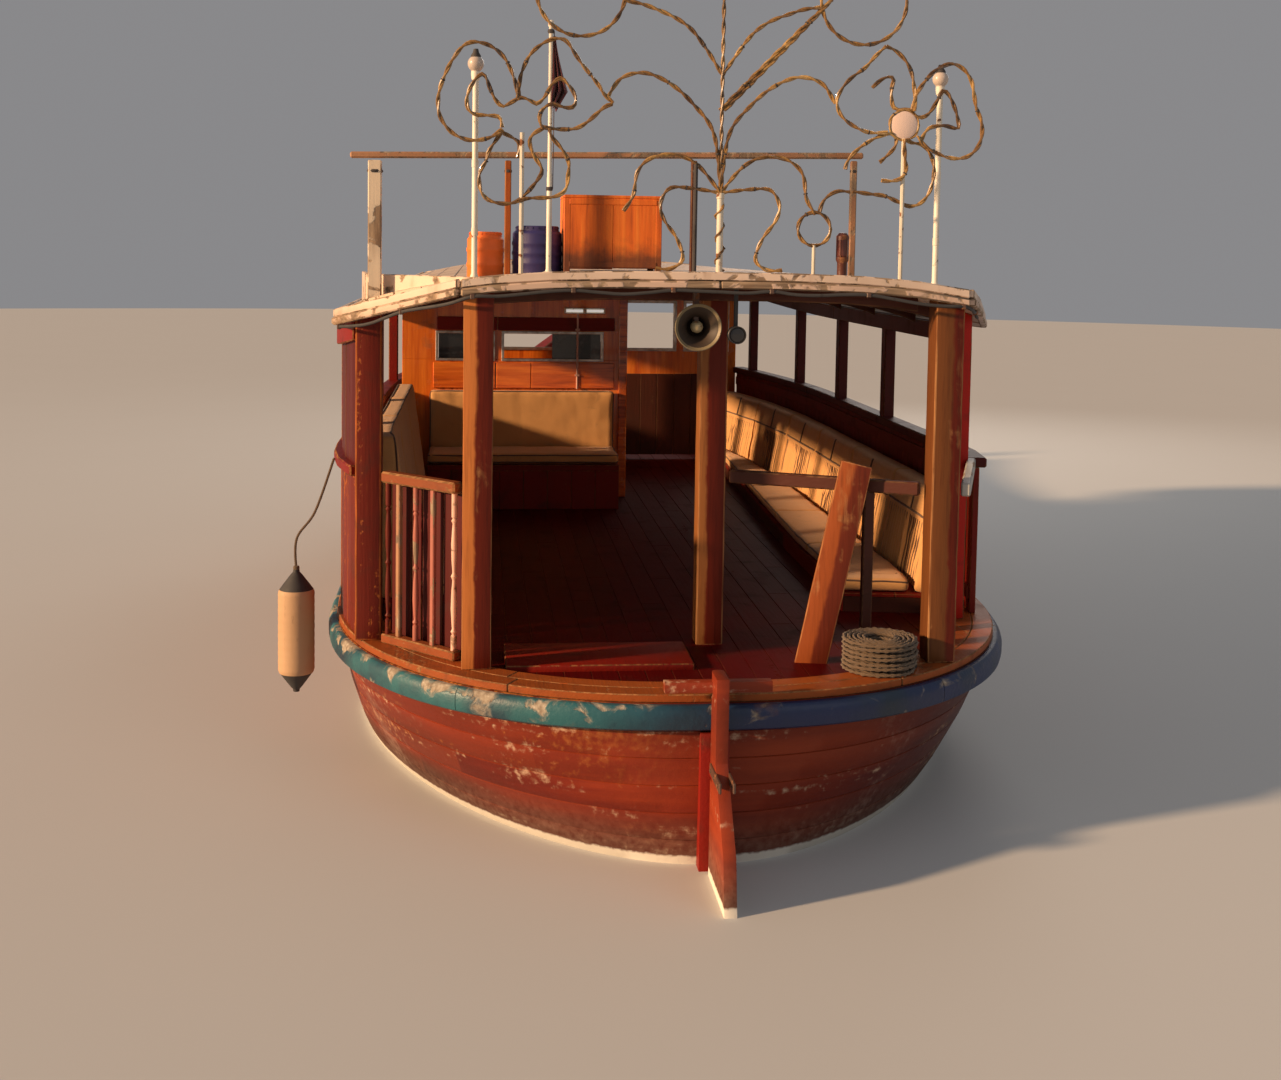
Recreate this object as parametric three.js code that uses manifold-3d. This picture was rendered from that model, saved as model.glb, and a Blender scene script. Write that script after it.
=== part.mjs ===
import * as THREE from 'three';
import { mergeVertices } from 'three/addons/utils/BufferGeometryUtils.js';
import Module from 'manifold-3d';

// A wooden passenger dhow with a round stern and an open-sided saloon, in millimetres.
// +X is starboard, +Y is forward, +Z is up. The origin is amidships on the waterline.

const wasm = await Module();
wasm.setup();

const FIT = 0.3; // clearance between pieces that rest on each other

// Hull
const DECK_Z = 820;
const STRIP = 70; // half-width of stem, keel and sternpost
const RISE_FROM_Y = 2400; // the sheer lifts forward of here
const BOW_END_Y = 6450;
const BOW_RISE = 700;
const KEEL_BOTTOM_Z = -1000;
const POST_AFT_Y = -6330; // aft face of the sternpost
const STRAKE = { out: 50, top: DECK_Z - 5, height: 125 };
const BOARD = { inset: 230, thick: 40 };
const FLOOR_Z = DECK_Z + BOARD.thick; // top of the covering board

// Cabin and roof
const AFT_POSTS_Y = -5765;
const CORNER_Y = { port: -5165, starboard: -4860 };
const TIMBER = 150; // square of the aft posts
const WALL_INSET = { port: 40, starboard: 110 }; // side walls stand this far inside the deck edge
const SILL_Z = DECK_Z + 980;
const HEADROOM_Z = DECK_Z + 1950; // underside of the roof over the aft posts
const ROOF = { aft: -5860, front: 2500, thick: 70, drop: 170, halfWidth: 1750, power: 3.5 };
const WHEELHOUSE_Y = -250; // bulkhead between saloon and wheelhouse
const CABIN_FRONT_Y = 2150;

// Stern gear
const RUDDER = { axis: POST_AFT_Y - 90, half: 30, foot: -930, head: 1000 };
const PINTLE = { pin: 14, hole: 15, height: 60, at: [-700, -120, 480] };
const SHAFT = { radius: 24, boss: 65, sealY: -5660 };
const PROPELLER = { y: -5905, z: -600, radius: 215 };

const tone = (color, roughness, metalness = 0) =>
  new THREE.MeshStandardMaterial({ color, roughness, metalness });
const WOOD_RED = tone(0x7a2a16, 0.75);
const WOOD_ORANGE = tone(0xa8541c, 0.65);
const WOOD_CREAM = tone(0xcdbb98, 0.8);
const HULL_PAINT = tone(0x5a1c14, 0.7);
const BLUE_PAINT = tone(0x2d6276, 0.6);
const CLOTH = tone(0xcdb583, 0.95);
const WHITE_METAL = tone(0xe0dcd2, 0.5, 0.2);
const BRONZE = tone(0x9a7440, 0.4, 0.9);
const ROPE = tone(0x9a7030, 0.9);

// Solids

function solid(geometry) {
  const bare = geometry.clone();
  bare.deleteAttribute('normal');
  bare.deleteAttribute('uv');
  const merged = mergeVertices(bare, 1e-3);
  const mesh = new wasm.Mesh({
    numProp: 3,
    vertProperties: Float32Array.from(merged.attributes.position.array),
    triVerts: Uint32Array.from(merged.index.array),
  });
  return new wasm.Manifold(mesh);
}

function geometryOf(body) {
  const mesh = body.getMesh();
  const geometry = new THREE.BufferGeometry();
  geometry.setAttribute('position', new THREE.BufferAttribute(mesh.vertProperties, 3));
  geometry.setIndex(new THREE.BufferAttribute(mesh.triVerts, 1));
  return geometry;
}

const unite = (...pieces) =>
  geometryOf(pieces.flat().map(solid).reduce((sum, piece) => sum.add(piece)));
const intersect = (a, b) => geometryOf(solid(a).intersect(solid(b)));
const cut = (piece, ...tools) =>
  geometryOf(tools.flat().map(solid).reduce((rest, tool) => rest.subtract(tool), solid(piece)));

function block(x0, x1, y0, y1, z0, z1) {
  const geometry = new THREE.BoxGeometry(x1 - x0, y1 - y0, z1 - z0);
  return geometry.translate((x0 + x1) / 2, (y0 + y1) / 2, (z0 + z1) / 2);
}

const post = (x, y, width, z0, z1, depth = width) =>
  block(x - width / 2, x + width / 2, y - depth / 2, y + depth / 2, z0, z1);

function between(geometry, from, to) {
  const a = new THREE.Vector3(...from);
  const b = new THREE.Vector3(...to);
  const turn = new THREE.Quaternion().setFromUnitVectors(
    new THREE.Vector3(0, 1, 0), b.clone().sub(a).normalize());
  return geometry.applyQuaternion(turn).translate(...a.add(b).multiplyScalar(0.5).toArray());
}

const span = (from, to) => new THREE.Vector3(...from).distanceTo(new THREE.Vector3(...to));
const rod = (from, to, radius, sides = 8) =>
  between(new THREE.CylinderGeometry(radius, radius, span(from, to), sides), from, to);
const bar = (from, to, width, height = width) =>
  between(new THREE.BoxGeometry(width, span(from, to), height), from, to);

function tube(points, radius, steps, sides = 6) {
  const curve = new THREE.CatmullRomCurve3(points.map((p) => new THREE.Vector3(...p)));
  const section = new THREE.Shape(
    Array.from({ length: sides }, (_, i) => {
      const angle = (i / sides) * 2 * Math.PI;
      return new THREE.Vector2(radius * Math.cos(angle), radius * Math.sin(angle));
    }));
  return new THREE.ExtrudeGeometry(section, { steps, extrudePath: curve, bevelEnabled: false });
}

// A skin over rings of equal length, closed at both ends by strips across each ring.
function skin(rings) {
  const count = rings[0].length;
  const index = [];
  const quad = (a, b, c, d) => index.push(a, b, c, a, c, d);
  for (let level = 0; level + 1 < rings.length; level++) {
    for (let i = 0; i < count; i++) {
      const next = (i + 1) % count;
      quad(level * count + i, level * count + next, (level + 1) * count + next, (level + 1) * count + i);
    }
  }
  const last = (rings.length - 1) * count;
  for (let i = 0; i + 1 < count / 2; i++) {
    const far = count - 1 - i;
    quad(i, far, far - 1, i + 1);
    quad(last + i, last + i + 1, last + far - 1, last + far);
  }
  const geometry = new THREE.BufferGeometry();
  geometry.setAttribute('position', new THREE.Float32BufferAttribute(rings.flat(2), 3));
  geometry.setIndex(index);
  return geometry;
}

// A band along a plan path [x, y], between two offsets to its right; lean moves the inner face's top.
function band(path, inner, outer, low, high, closed = false, lean = 0) {
  const rings = path.map((point, i) => {
    const before = path[i - 1] ?? (closed ? path[path.length - 1] : point);
    const after = path[i + 1] ?? (closed ? path[0] : point);
    const heading = new THREE.Vector2(after[0] - before[0], after[1] - before[1]).normalize();
    const at = (offset, z) => {
      const [x, y] = [point[0] + heading.y * offset, point[1] - heading.x * offset];
      return [x, y, z(x, y)];
    };
    return [at(inner, low), at(inner + lean, high), at(outer, high), at(outer, low)];
  });
  if (!closed) return skin(rings);
  const wrapped = skin([...rings, rings[0]]);
  const walls = rings.length * 4 * 6;
  wrapped.setIndex([...wrapped.index.array].slice(0, walls));
  return wrapped;
}

const level = (z) => () => z;

// The boat's sides, by name: which way is outboard
const SIDES = { port: -1, starboard: 1 };
const FAR = 7000; // past the boat's ends

// What lies on one side of the centreline
function sideOf(name, piece) {
  const [x0, x1] = SIDES[name] > 0 ? [FIT / 2, FAR] : [-FAR, -FIT / 2];
  return intersect(piece, block(x0, x1, -FAR, FAR, -FAR, FAR));
}

// Hull form

// height, aft end, half-beam, bow end, stern length, stern roundness, bow fullness
const LEVELS = [
  [-850, -5560, STRIP, 4600, 1200, 2.0, 1.5],
  [-700, -5580, 620, 4900, 3300, 1.25, 1.45],
  [-450, -5610, 1260, 5250, 3100, 1.35, 1.5],
  [-230, -6130, 1640, 5500, 2950, 1.5, 1.6],
  [0, -6290, 1867, 5750, 2780, 1.7, 1.75],
  [400, -6315, 1935, 6100, 2500, 1.95, 1.9],
  [DECK_Z, POST_AFT_Y, 1985, BOW_END_Y, 2250, 2.2, 2.1],
];
const MIDSHIP_Y = -900;
const STERN_STEPS = 12;
const MID_STEPS = 4;
const BOW_STEPS = 12;

const rise = (y) => BOW_RISE * Math.max(0, (y - RISE_FROM_Y) / (BOW_END_Y - RISE_FROM_Y)) ** 2;

function halfOutline([, aft, beam, bow, length, roundness, fullness]) {
  const points = [];
  for (let i = 0; i <= STERN_STEPS; i++) {
    const angle = (i / STERN_STEPS) * (Math.PI / 2);
    const reach = Math.sin(angle) ** (2 / roundness);
    const back = Math.max(0, Math.cos(angle)) ** (2 / roundness);
    points.push([STRIP + (beam - STRIP) * reach, aft + length * (1 - back)]);
  }
  const shoulder = aft + length;
  for (let i = 1; i < MID_STEPS; i++) {
    points.push([beam, shoulder + ((MIDSHIP_Y - shoulder) * i) / MID_STEPS]);
  }
  for (let i = 0; i <= BOW_STEPS; i++) {
    const u = i / BOW_STEPS;
    points.push([STRIP + (beam - STRIP) * (1 - u ** fullness), MIDSHIP_Y + (bow - MIDSHIP_Y) * u]);
  }
  return points;
}

const DECK_LINE = halfOutline(LEVELS[LEVELS.length - 1]);
const bothSides = (half) => [...half, ...half.map(([x, y]) => [-x, y]).reverse()];

// Straight runs between knots [at, value]
function along(knots, at) {
  const i = Math.max(1, knots.findIndex((knot) => knot[0] >= at));
  const [a, b] = [knots[i - 1], knots[i]];
  return a[1] + ((b[1] - a[1]) * (at - a[0])) / (b[0] - a[0]);
}

const HALF_KNOTS = DECK_LINE.map(([x, y]) => [y, x]);
const SHEER_KNOTS = DECK_LINE.map(([, y]) => [y, DECK_Z + rise(y)]);
const deckHalf = (y) => along(HALF_KNOTS, y);
const deckAt = (x, y) => along(SHEER_KNOTS, y);

function hull() {
  const rings = LEVELS.map((row) => {
    const share = Math.max(0, row[0]) / DECK_Z;
    return bothSides(halfOutline(row)).map(([x, y]) => [x, y, row[0] + share * rise(y)]);
  });
  const boss = rod([0, -5500, PROPELLER.z], [0, SHAFT.sealY, PROPELLER.z], SHAFT.boss, 12);
  return unite(skin(rings), boss);
}

// Keel, stem and sternpost as one sawn backbone with the propeller aperture
function backbone() {
  const bowSide = LEVELS.map((row) => [row[3] + FIT, row[0] + (Math.max(0, row[0]) / DECK_Z) * rise(row[3])]);
  const [, stemTop] = bowSide[bowSide.length - 1];
  const outline = [
    [POST_AFT_Y + 120, KEEL_BOTTOM_Z],
    [POST_AFT_Y - 45, KEEL_BOTTOM_Z],
    [POST_AFT_Y - 45, DECK_Z - 140],
    [POST_AFT_Y + 14, DECK_Z - 140],
    [LEVELS[4][1] - FIT, 0],
    [LEVELS[3][1] - FIT, LEVELS[3][0]],
    [-5950, -310],
    [POST_AFT_Y + 150, -320],
    [POST_AFT_Y + 150, -850 - FIT],
    [LEVELS[0][3], -850 - FIT],
    ...bowSide,
    [BOW_END_Y + 90, stemTop + 520],
    [BOW_END_Y + 330, stemTop + 560],
    [6120, 60],
    [5150, -820],
    [4500, KEEL_BOTTOM_Z],
  ];
  const shape = new THREE.Shape(outline.map(([y, z]) => new THREE.Vector2(y, z)));
  const slab = new THREE.ExtrudeGeometry(shape, { depth: 2 * STRIP, bevelEnabled: false });
  slab.rotateX(Math.PI / 2).rotateZ(Math.PI / 2).translate(-STRIP, 0, 0);
  const clear = [[0, -FIT, 0], [0, FIT, 0], [0, 0, -FIT]];
  const wood = cut(slab, clear.map((move) => hull().translate(...move)));
  const lugs = PINTLE.at.flatMap((z) => [
    block(-26, 26, RUDDER.axis, POST_AFT_Y - 20, z, z + PINTLE.height),
    rod([0, RUDDER.axis, z], [0, RUDDER.axis, z + PINTLE.height], 26, 16),
  ]);
  const holes = PINTLE.at.map((z) =>
    rod([0, RUDDER.axis, z - 5], [0, RUDDER.axis, z + PINTLE.height + 5], PINTLE.hole, 16));
  return cut(unite(wood, lugs), holes);
}

// Plan path along one side, with outboard on its right
function sidePath(side, from, to, inset = 0) {
  const inner = DECK_LINE.map((point) => point[1]).filter((y) => y > from + 60 && y < to - 60);
  const path = [from, ...inner, to].map((y) => [side * (deckHalf(y) - inset), y]);
  return side > 0 ? path : path.reverse();
}

function rubbingStrake() {
  const port = DECK_LINE.map(([x, y]) => [-x, y]).reverse();
  const top = (x, y) => STRAKE.top + rise(y);
  return band([...port, ...DECK_LINE], FIT, STRAKE.out, (x, y) => top(x, y) - STRAKE.height, top);
}

function coveringBoard(slack = 0) {
  const line = bothSides(DECK_LINE.slice(0, -1));
  const low = (x, y) => deckAt(x, y) + FIT;
  return band(line, -BOARD.inset - slack, -4, low, (x, y) => low(x, y) + BOARD.thick + slack, true);
}

const BULWARK = { from: CABIN_FRONT_Y + 90, inset: 90, thick: 50, height: 430 };
function bowBulwark() {
  const starboard = sidePath(1, BULWARK.from, DECK_LINE[DECK_LINE.length - 2][1], BULWARK.inset);
  const port = starboard.map(([x, y]) => [-x, y]).reverse();
  const low = (x, y) => deckAt(x, y) + BOARD.thick / 2;
  const high = (x, y) => low(x, y) + BULWARK.height;
  const cap = (x, y) => high(x, y) + 45;
  const path = [...starboard, ...port];
  const boards = band(path, -BULWARK.thick, 0, low, high);
  const rail = band(path, -BULWARK.thick - 50, 45, (x, y) => high(x, y) - 1, cap);
  return cut(unite(boards, rail), coveringBoard().translate(0, 0, FIT));
}

// Roof form: flat planes between camber lines
const CROWN_Z = HEADROOM_Z + 45;
const CAMBER_X = [0, 450, 800, 1080, 1320, 1540, 1750, 2200];
const CAMBER_KNOTS = CAMBER_X.map((x) => [x, CROWN_Z - ROOF.drop * (x / ROOF.halfWidth) ** ROOF.power]);
const roofUnder = (x) => along(CAMBER_KNOTS, Math.abs(x));
const BEAM = { width: 70, depth: 75, pitch: 1054, from: -5520 };

// A slab that follows the camber, between two heights above the roof's underside
function cambered(x0, x1, y0, y1, low, high) {
  const lines = [...CAMBER_X.slice(1).map((x) => -x).reverse(), ...CAMBER_X];
  const xs = [x0, ...lines.filter((x) => x > x0 + 1 && x < x1 - 1), x1];
  const rings = [y0, y1].map((y) => [
    ...xs.map((x) => [x, y, roofUnder(x) + high]),
    ...xs.map((x) => [x, y, roofUnder(x) + low]).reverse(),
  ]);
  return skin(rings);
}

// station, port edge, starboard edge
const ROOF_PLAN = [
  [ROOF.aft, -1240, 1362],
  [-5200, -1890, 1620],
  [-4400, -1970, 1930],
  [-3200, -1990, 1960],
  [-1200, -1990, 1960],
  [800, -1960, 1930],
  [2300, -1830, 1800],
  [ROOF.front, -1700, 1680],
];
const ROOF_PORT = ROOF_PLAN.map(([y, x]) => [x, y]).reverse();
const ROOF_STARBOARD = ROOF_PLAN.map(([y, , x]) => [x, y]);

function prism(outline, low, high) {
  const shape = new THREE.Shape(outline.map(([x, y]) => new THREE.Vector2(x, y)));
  return new THREE.ExtrudeGeometry(shape, { depth: high - low, bevelEnabled: false }).translate(0, 0, low);
}

function roof() {
  const slab = cambered(-2100, 2100, ROOF.aft - 10, ROOF.front + 10, 0, ROOF.thick);
  const plan = prism([...ROOF_STARBOARD, ...ROOF_PORT], DECK_Z, CROWN_Z + 500);
  return intersect(slab, plan);
}

const standOnRoof = (piece) => cut(piece, roof().translate(0, 0, FIT));
const underRoof = (piece) => cut(piece, roof().translate(0, 0, -FIT));
const footing = (x, reach) => roofUnder(Math.abs(x) + reach) + ROOF.thick - 8;

function roofBeams() {
  const stations = [];
  for (let y = BEAM.from; y < CABIN_FRONT_Y - 100; y += BEAM.pitch) stations.push(y);
  const beams = stations.map((y) => {
    const half = Math.min(1200 + (y - BEAM.from) * 0.75, deckHalf(y) - WALL_INSET.starboard - 60);
    return cambered(-half, half, y, y + BEAM.width, -BEAM.depth, -FIT);
  });
  const ridge = cambered(-35, 35, stations[0] + 10, stations.at(-1) + 20, -50, -FIT);
  return unite(beams, ridge);
}

function roofEdge() {
  const low = (x) => roofUnder(x) - 5;
  const high = (x) => roofUnder(x) + ROOF.thick + 12;
  const across = [-1080, -800, -450, 0, 450, 800, 1080];
  const aft = across.map((x) => [x, ROOF.aft]);
  const front = across.map((x) => [-x, ROOF.front]);
  return band([...ROOF_PORT, ...aft, ...ROOF_STARBOARD, ...front], FIT, 40, low, high, true);
}

// Cabin sides
const PLANK = 40;
const PLATE_FROM = { port: CORNER_Y.port + 85, starboard: -4100 };
const wallPath = (name, from = CORNER_Y[name] + 85, to = CABIN_FRONT_Y) =>
  sidePath(SIDES[name], from, to, WALL_INSET[name]);

function sidePlanks(name) {
  return band(wallPath(name), -PLANK / 2, PLANK / 2, level(FLOOR_Z + 2 * FIT), level(SILL_Z - 60 - FIT));
}

const SIDE_POSTS = { from: -3950, pitch: 1420, width: 80, depth: 110 };

function sideFrame(name) {
  const plateTop = (x) => roofUnder(Math.abs(x) + 60) - 2 * FIT;
  const pieces = [
    band(wallPath(name), -60, 60, level(SILL_Z - 60), level(SILL_Z)),
    band(wallPath(name, PLATE_FROM[name]), -45, 45, (x) => plateTop(x) - 110, plateTop),
  ];
  for (let { from: y, pitch, width, depth } = SIDE_POSTS; y < CABIN_FRONT_Y; y += pitch) {
    const x = SIDES[name] * (deckHalf(y) - WALL_INSET[name]);
    pieces.push(post(x, y, width, SILL_Z - 20, plateTop(x) - 20, depth));
  }
  return unite(pieces);
}

// Boards that close the first bay of the port side, between sill and plate
const quarterBoards = () => {
  const path = wallPath('port', PLATE_FROM.port, -4430);
  return band(path, -15, 15, level(SILL_Z - 10), (x) => roofUnder(Math.abs(x) + 60) - 100);
};

// x, y and width of the square aft posts
const POSTS = {
  post_quarter_port: [-1150, AFT_POSTS_Y, TIMBER],
  post_quarter_starboard: [1280, AFT_POSTS_Y, TIMBER],
  post_entry: [135, -5205, TIMBER],
  corner_post_port: [-1735, CORNER_Y.port, 140],
  corner_post_starboard: [1650, CORNER_Y.starboard, 115],
};

function aftPost([x, y, width]) {
  const foot = Math.hypot(x, y + 3500) > 2180 || Math.abs(x) > 1500 ? FLOOR_Z + 2 * FIT : DECK_Z + FIT;
  return underRoof(post(x, y, width, foot, roofUnder(Math.abs(x) - width / 2) + 10));
}

// A rail between two posts, from face to face
function railBetween(from, to, z, width = 60, height = 70) {
  const a = new THREE.Vector3(from[0], from[1], z);
  const b = new THREE.Vector3(to[0], to[1], z);
  const along = b.clone().sub(a).normalize();
  const reach = (p) => (p[2] / 2 + 2) / Math.max(Math.abs(along.x), Math.abs(along.y)) + width / 2;
  const start = a.clone().addScaledVector(along, reach(from));
  const end = b.clone().addScaledVector(along, -reach(to));
  return { start, end, piece: bar(start.toArray(), end.toArray(), width, height) };
}

function quarterBalustrade() {
  const { start, end, piece } = railBetween(
    POSTS.post_quarter_port, POSTS.corner_post_port, SILL_Z - 35);
  const at = (t) => start.clone().lerp(end, t);
  const foot = FLOOR_Z + 2 * FIT;
  const sole = bar(at(0).setZ(foot + 25).toArray(), at(1).setZ(foot + 25).toArray(), 60, 50);
  const balusters = [0.1, 0.28, 0.46, 0.62].map((t) =>
    rod(at(t).setZ(foot + 20).toArray(), at(t).setZ(SILL_Z - 40).toArray(), 20, 8));
  const panel = bar(at(0.87).setZ(foot + 20).toArray(), at(0.87).setZ(SILL_Z - 40).toArray(), 150, 30);
  return unite(piece, sole, balusters, panel);
}

function entryRail() {
  const { start, end, piece } = railBetween(
    POSTS.post_entry, POSTS.post_quarter_starboard, SILL_Z - 35);
  const at = start.clone().lerp(end, 0.74);
  const foot = DECK_Z + FIT;
  return unite(piece, post(at.x, at.y, 55, foot, SILL_Z - 40));
}

function quarterRailStarboard() {
  const { start, end, piece } = railBetween(
    POSTS.post_quarter_starboard, POSTS.corner_post_starboard, SILL_Z - 35);
  const foot = FLOOR_Z + 2 * FIT;
  const at = (t) => start.clone().lerp(end, t);
  const boards = [0.3, 0.72].map((t) =>
    bar(at(t).setZ(foot).toArray(), at(t).setZ(SILL_Z - 40).toArray(), 110, 30));
  return unite(piece, boards);
}

// Saloon
const BENCH = {
  from: -4680, to: { port: -1150, starboard: 2030 }, inner: 890, outer: 250, top: DECK_Z + 120, seat: 90,
};
const BACK = { foot: 460, lean: 130, rear: 185, top: { port: 1900, starboard: 1560 } };
const benchPath = (name, trim = 0) => sidePath(SIDES[name], BENCH.from + trim, BENCH.to[name] - trim);

// The long starboard bench narrows forward: its front edge runs straight from here
const TAPER = { from: -3000, slope: 0.04, width: 1200 };
function narrowed(piece) {
  const edge = (y) => deckHalf(TAPER.from) - BENCH.inner + TAPER.slope * (y - TAPER.from) - TAPER.width / 2;
  const ends = [BENCH.from, BENCH.to.starboard + BENCH.outer].map((y) => [edge(y), y, BENCH.top]);
  return cut(piece, bar(...ends, TAPER.width, TAPER.width));
}

const sideBench = (name) =>
  narrowed(band(benchPath(name), -BENCH.inner, -BENCH.outer, level(DECK_Z + FIT), level(BENCH.top)));

const sideSeat = (name) =>
  narrowed(band(benchPath(name, 20), -BENCH.inner, -BACK.foot - 10, level(BENCH.top + FIT),
    level(BENCH.top + BENCH.seat)));

const sideBack = (name) =>
  band(benchPath(name, 20), -BACK.foot, -BACK.rear, level(BENCH.top + FIT), level(BACK.top[name]),
    false, BACK.lean);

// The bulkhead stands to port of the way through; its lower boards, up to the windows, are a piece of their own
const BULKHEAD = { thick: 45, to: 160, windowLow: DECK_Z + 1210, windowHigh: DECK_Z + 1450 };
const panelBox = (top) => block(-FAR, FAR, WHEELHOUSE_Y - 10, WHEELHOUSE_Y + 60, 0, top);

function bulkheadWall() {
  const y = WHEELHOUSE_Y;
  const half = deckHalf(y) - WALL_INSET.starboard - 65;
  const wall = cambered(-half, half, y, y + BULKHEAD.thick, DECK_Z - CROWN_Z - 100, -BEAM.depth - FIT);
  const flat = block(-half - 10, half + 10, y - 10, y + 60, DECK_Z - 400, DECK_Z + FIT);
  const way = block(BULKHEAD.to, FAR, y - 10, y + 60, 0, FAR);
  const windows = [[-1500, -1010], [-930, -60]].map(([x0, x1]) =>
    block(x0, x1, y - 10, y + 60, BULKHEAD.windowLow, BULKHEAD.windowHigh));
  return cut(wall, flat, way, windows, coveringBoard(FIT));
}

const FORWARD_BENCH = { from: -1560, to: 40, y0: WHEELHOUSE_Y - 660, y1: WHEELHOUSE_Y - FIT, top: DECK_Z + 380 };

function cabinFront() {
  const y = CABIN_FRONT_Y + 1;
  const half = deckHalf(y) - WALL_INSET.starboard - 30;
  const foot = DECK_Z + BOARD.thick + 12;
  const wall = cambered(-half, half, y, y + 50, foot - CROWN_Z - 50, -FIT);
  const under = block(-half - 10, half + 10, y - 10, y + 60, DECK_Z - 400, foot);
  const windows = [[-1450, -1000], [-900, -350], [-250, 250], [350, 900], [1000, 1450]].map(([x0, x1]) =>
    block(x0, x1, y - 10, y + 60, DECK_Z + 1150, DECK_Z + 1650));
  return cut(wall, under, windows);
}

// Steering
const WHEEL = { x: -120, y: 1480, z: DECK_Z + 1080, radius: 300 };

function steeringWheel() {
  const rim = new THREE.TorusGeometry(WHEEL.radius - 50, 18, 6, 20);
  const spokes = [0, 1, 2].map((i) => {
    const angle = (i * Math.PI) / 3;
    const tip = [WHEEL.radius * Math.cos(angle), WHEEL.radius * Math.sin(angle), 0];
    return rod(tip.map((v) => -v), tip, 14, 6);
  });
  const hub = new THREE.CylinderGeometry(55, 55, 50, 12).rotateX(Math.PI / 2);
  return unite(rim, spokes, hub).rotateX(Math.PI / 2).translate(WHEEL.x, WHEEL.y, WHEEL.z);
}

function helmStand() {
  const y = WHEEL.y;
  const box = block(WHEEL.x - 230, WHEEL.x + 230, y + 60, y + 330, DECK_Z + FIT, WHEEL.z + 120);
  const boss = rod([WHEEL.x, y + 25 + FIT, WHEEL.z], [WHEEL.x, y + 80, WHEEL.z], 30, 12);
  return unite(box, boss);
}

// Stern gear
function rudder() {
  const { axis, half, foot, head } = RUDDER;
  const blade = [[0, foot], [-500, -880], [-540, -300], [-420, 250], [-150, 600], [-150, head],
    [0, head]];
  const shape = new THREE.Shape(blade.map(([y, z]) => new THREE.Vector2(y + axis, z)));
  const slab = new THREE.ExtrudeGeometry(shape, { depth: 2 * half, bevelEnabled: false });
  slab.rotateX(Math.PI / 2).rotateZ(Math.PI / 2).translate(-half, 0, 0);
  const stock = rod([0, axis, foot], [0, axis, head], half, 16);
  const yoke = bar([-260, axis, head - 70], [260, axis, head - 70], 60, 50);
  const notches = PINTLE.at.map((z) =>
    block(-60, 60, axis - 45, axis + 60, z - 8, z + PINTLE.height + 8));
  const pins = PINTLE.at.map((z) =>
    rod([0, axis, z - 20], [0, axis, z + PINTLE.height + 20], PINTLE.pin, 16));
  return unite(cut(unite(slab, stock, yoke), notches), pins);
}

function propeller() {
  const hub = new THREE.CylinderGeometry(48, 62, 150, 12);
  const blades = [0, 1, 2].map((i) =>
    new THREE.BoxGeometry(120, 16, PROPELLER.radius - 30).rotateZ(0.5)
      .translate(0, 0, PROPELLER.radius / 2 + 15).rotateY((i * 2 * Math.PI) / 3));
  const wheel = unite(hub, blades).translate(0, PROPELLER.y, PROPELLER.z);
  const shaft = rod([0, PROPELLER.y, PROPELLER.z], [0, SHAFT.sealY - FIT, PROPELLER.z], SHAFT.radius, 12);
  return unite(wheel, shaft);
}

// Foredeck
const HATCH = { y0: 3150, y1: 4050, half: 450, height: 220 };
const foredeck = (y) => deckAt(0, y);

function hatchCoaming() {
  const top = foredeck(HATCH.y0) + HATCH.height;
  const low = level(foredeck(HATCH.y0) - 40);
  const { half, y0, y1 } = HATCH;
  const ring = [[half, y0], [half, y1], [-half, y1], [-half, y0]];
  return cut(band(ring, -45, 0, low, level(top), true), hull().translate(0, 0, FIT));
}

function hatchLid() {
  const top = foredeck(HATCH.y0) + HATCH.height + FIT;
  const { half, y0, y1 } = HATCH;
  return block(-half - 25, half + 25, y0 - 12, y1 + 20, top, top + 45);
}

function bowBitts() {
  const y = 4950;
  const foot = foredeck(y) - 20;
  const posts = [-160, 160].map((x) => post(x, y, 110, foot, foot + 560));
  const cross = block(-330, 330, y - 40, y + 40, foot + 330, foot + 430);
  return cut(unite(posts, cross), hull().translate(0, 0, FIT));
}

// Roof gear, standing on the roof
function pole(x, y, height, radius, head) {
  const foot = footing(x, radius);
  const pieces = [rod([x, y, foot], [x, y, foot + height], radius, 10)];
  if (head) pieces.push(new THREE.SphereGeometry(head, 12, 8).translate(x, y, foot + height + head * 0.7));
  return standOnRoof(unite(pieces));
}

function drum(x, y, radius, height) {
  const foot = footing(x, radius);
  const profile = [[0, 0], [radius, 0], [radius, height * 0.92], [radius * 0.85, height], [0, height]];
  const body = new THREE.LatheGeometry(profile.map(([r, z]) => new THREE.Vector2(r, z)), 20);
  return standOnRoof(body.rotateX(Math.PI / 2).translate(x, y, foot));
}

function awningRail() {
  const z = 3470;
  const beam = bar([-1830, -5300, z], [930, -5300, z + 55], 55, 60);
  const posts = [[-1700, 70], [-1000, 45], [0, 40], [880, 45]].map(([x, width]) =>
    post(x, -5300, width, footing(x, width / 2), z + (55 * (x + 1830)) / 2760));
  return standOnRoof(unite(beam, posts));
}

// Rope-light figures on bent rod, in the plane of the roof's aft edge
const FIGURE = { y: -5760, radius: 18, disc: 72 };

// direction of each lobe in degrees from starboard, its reach, and half its angle at the disc
const LOBES = [[25, 460, 24], [105, 450, 22], [170, 350, 19], [235, 430, 19], [300, 450, 20]];

// A loop in the figure's plane, out from the disc on one side of its direction and back on the other
function lobe(cx, cz, direction, reach, spread) {
  const knots = Array.from({ length: 11 }, (_, k) => {
    const turn = (k / 10) * Math.PI;
    const angle = direction + spread * Math.cos(turn) * (1 + 0.6 * Math.sin(turn));
    const out = 50 + (reach - 50) * Math.sin(turn) ** 0.7;
    return [cx + out * Math.cos(angle), FIGURE.y, cz + out * Math.sin(angle)];
  });
  return tube(knots, FIGURE.radius, 20);
}

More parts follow.
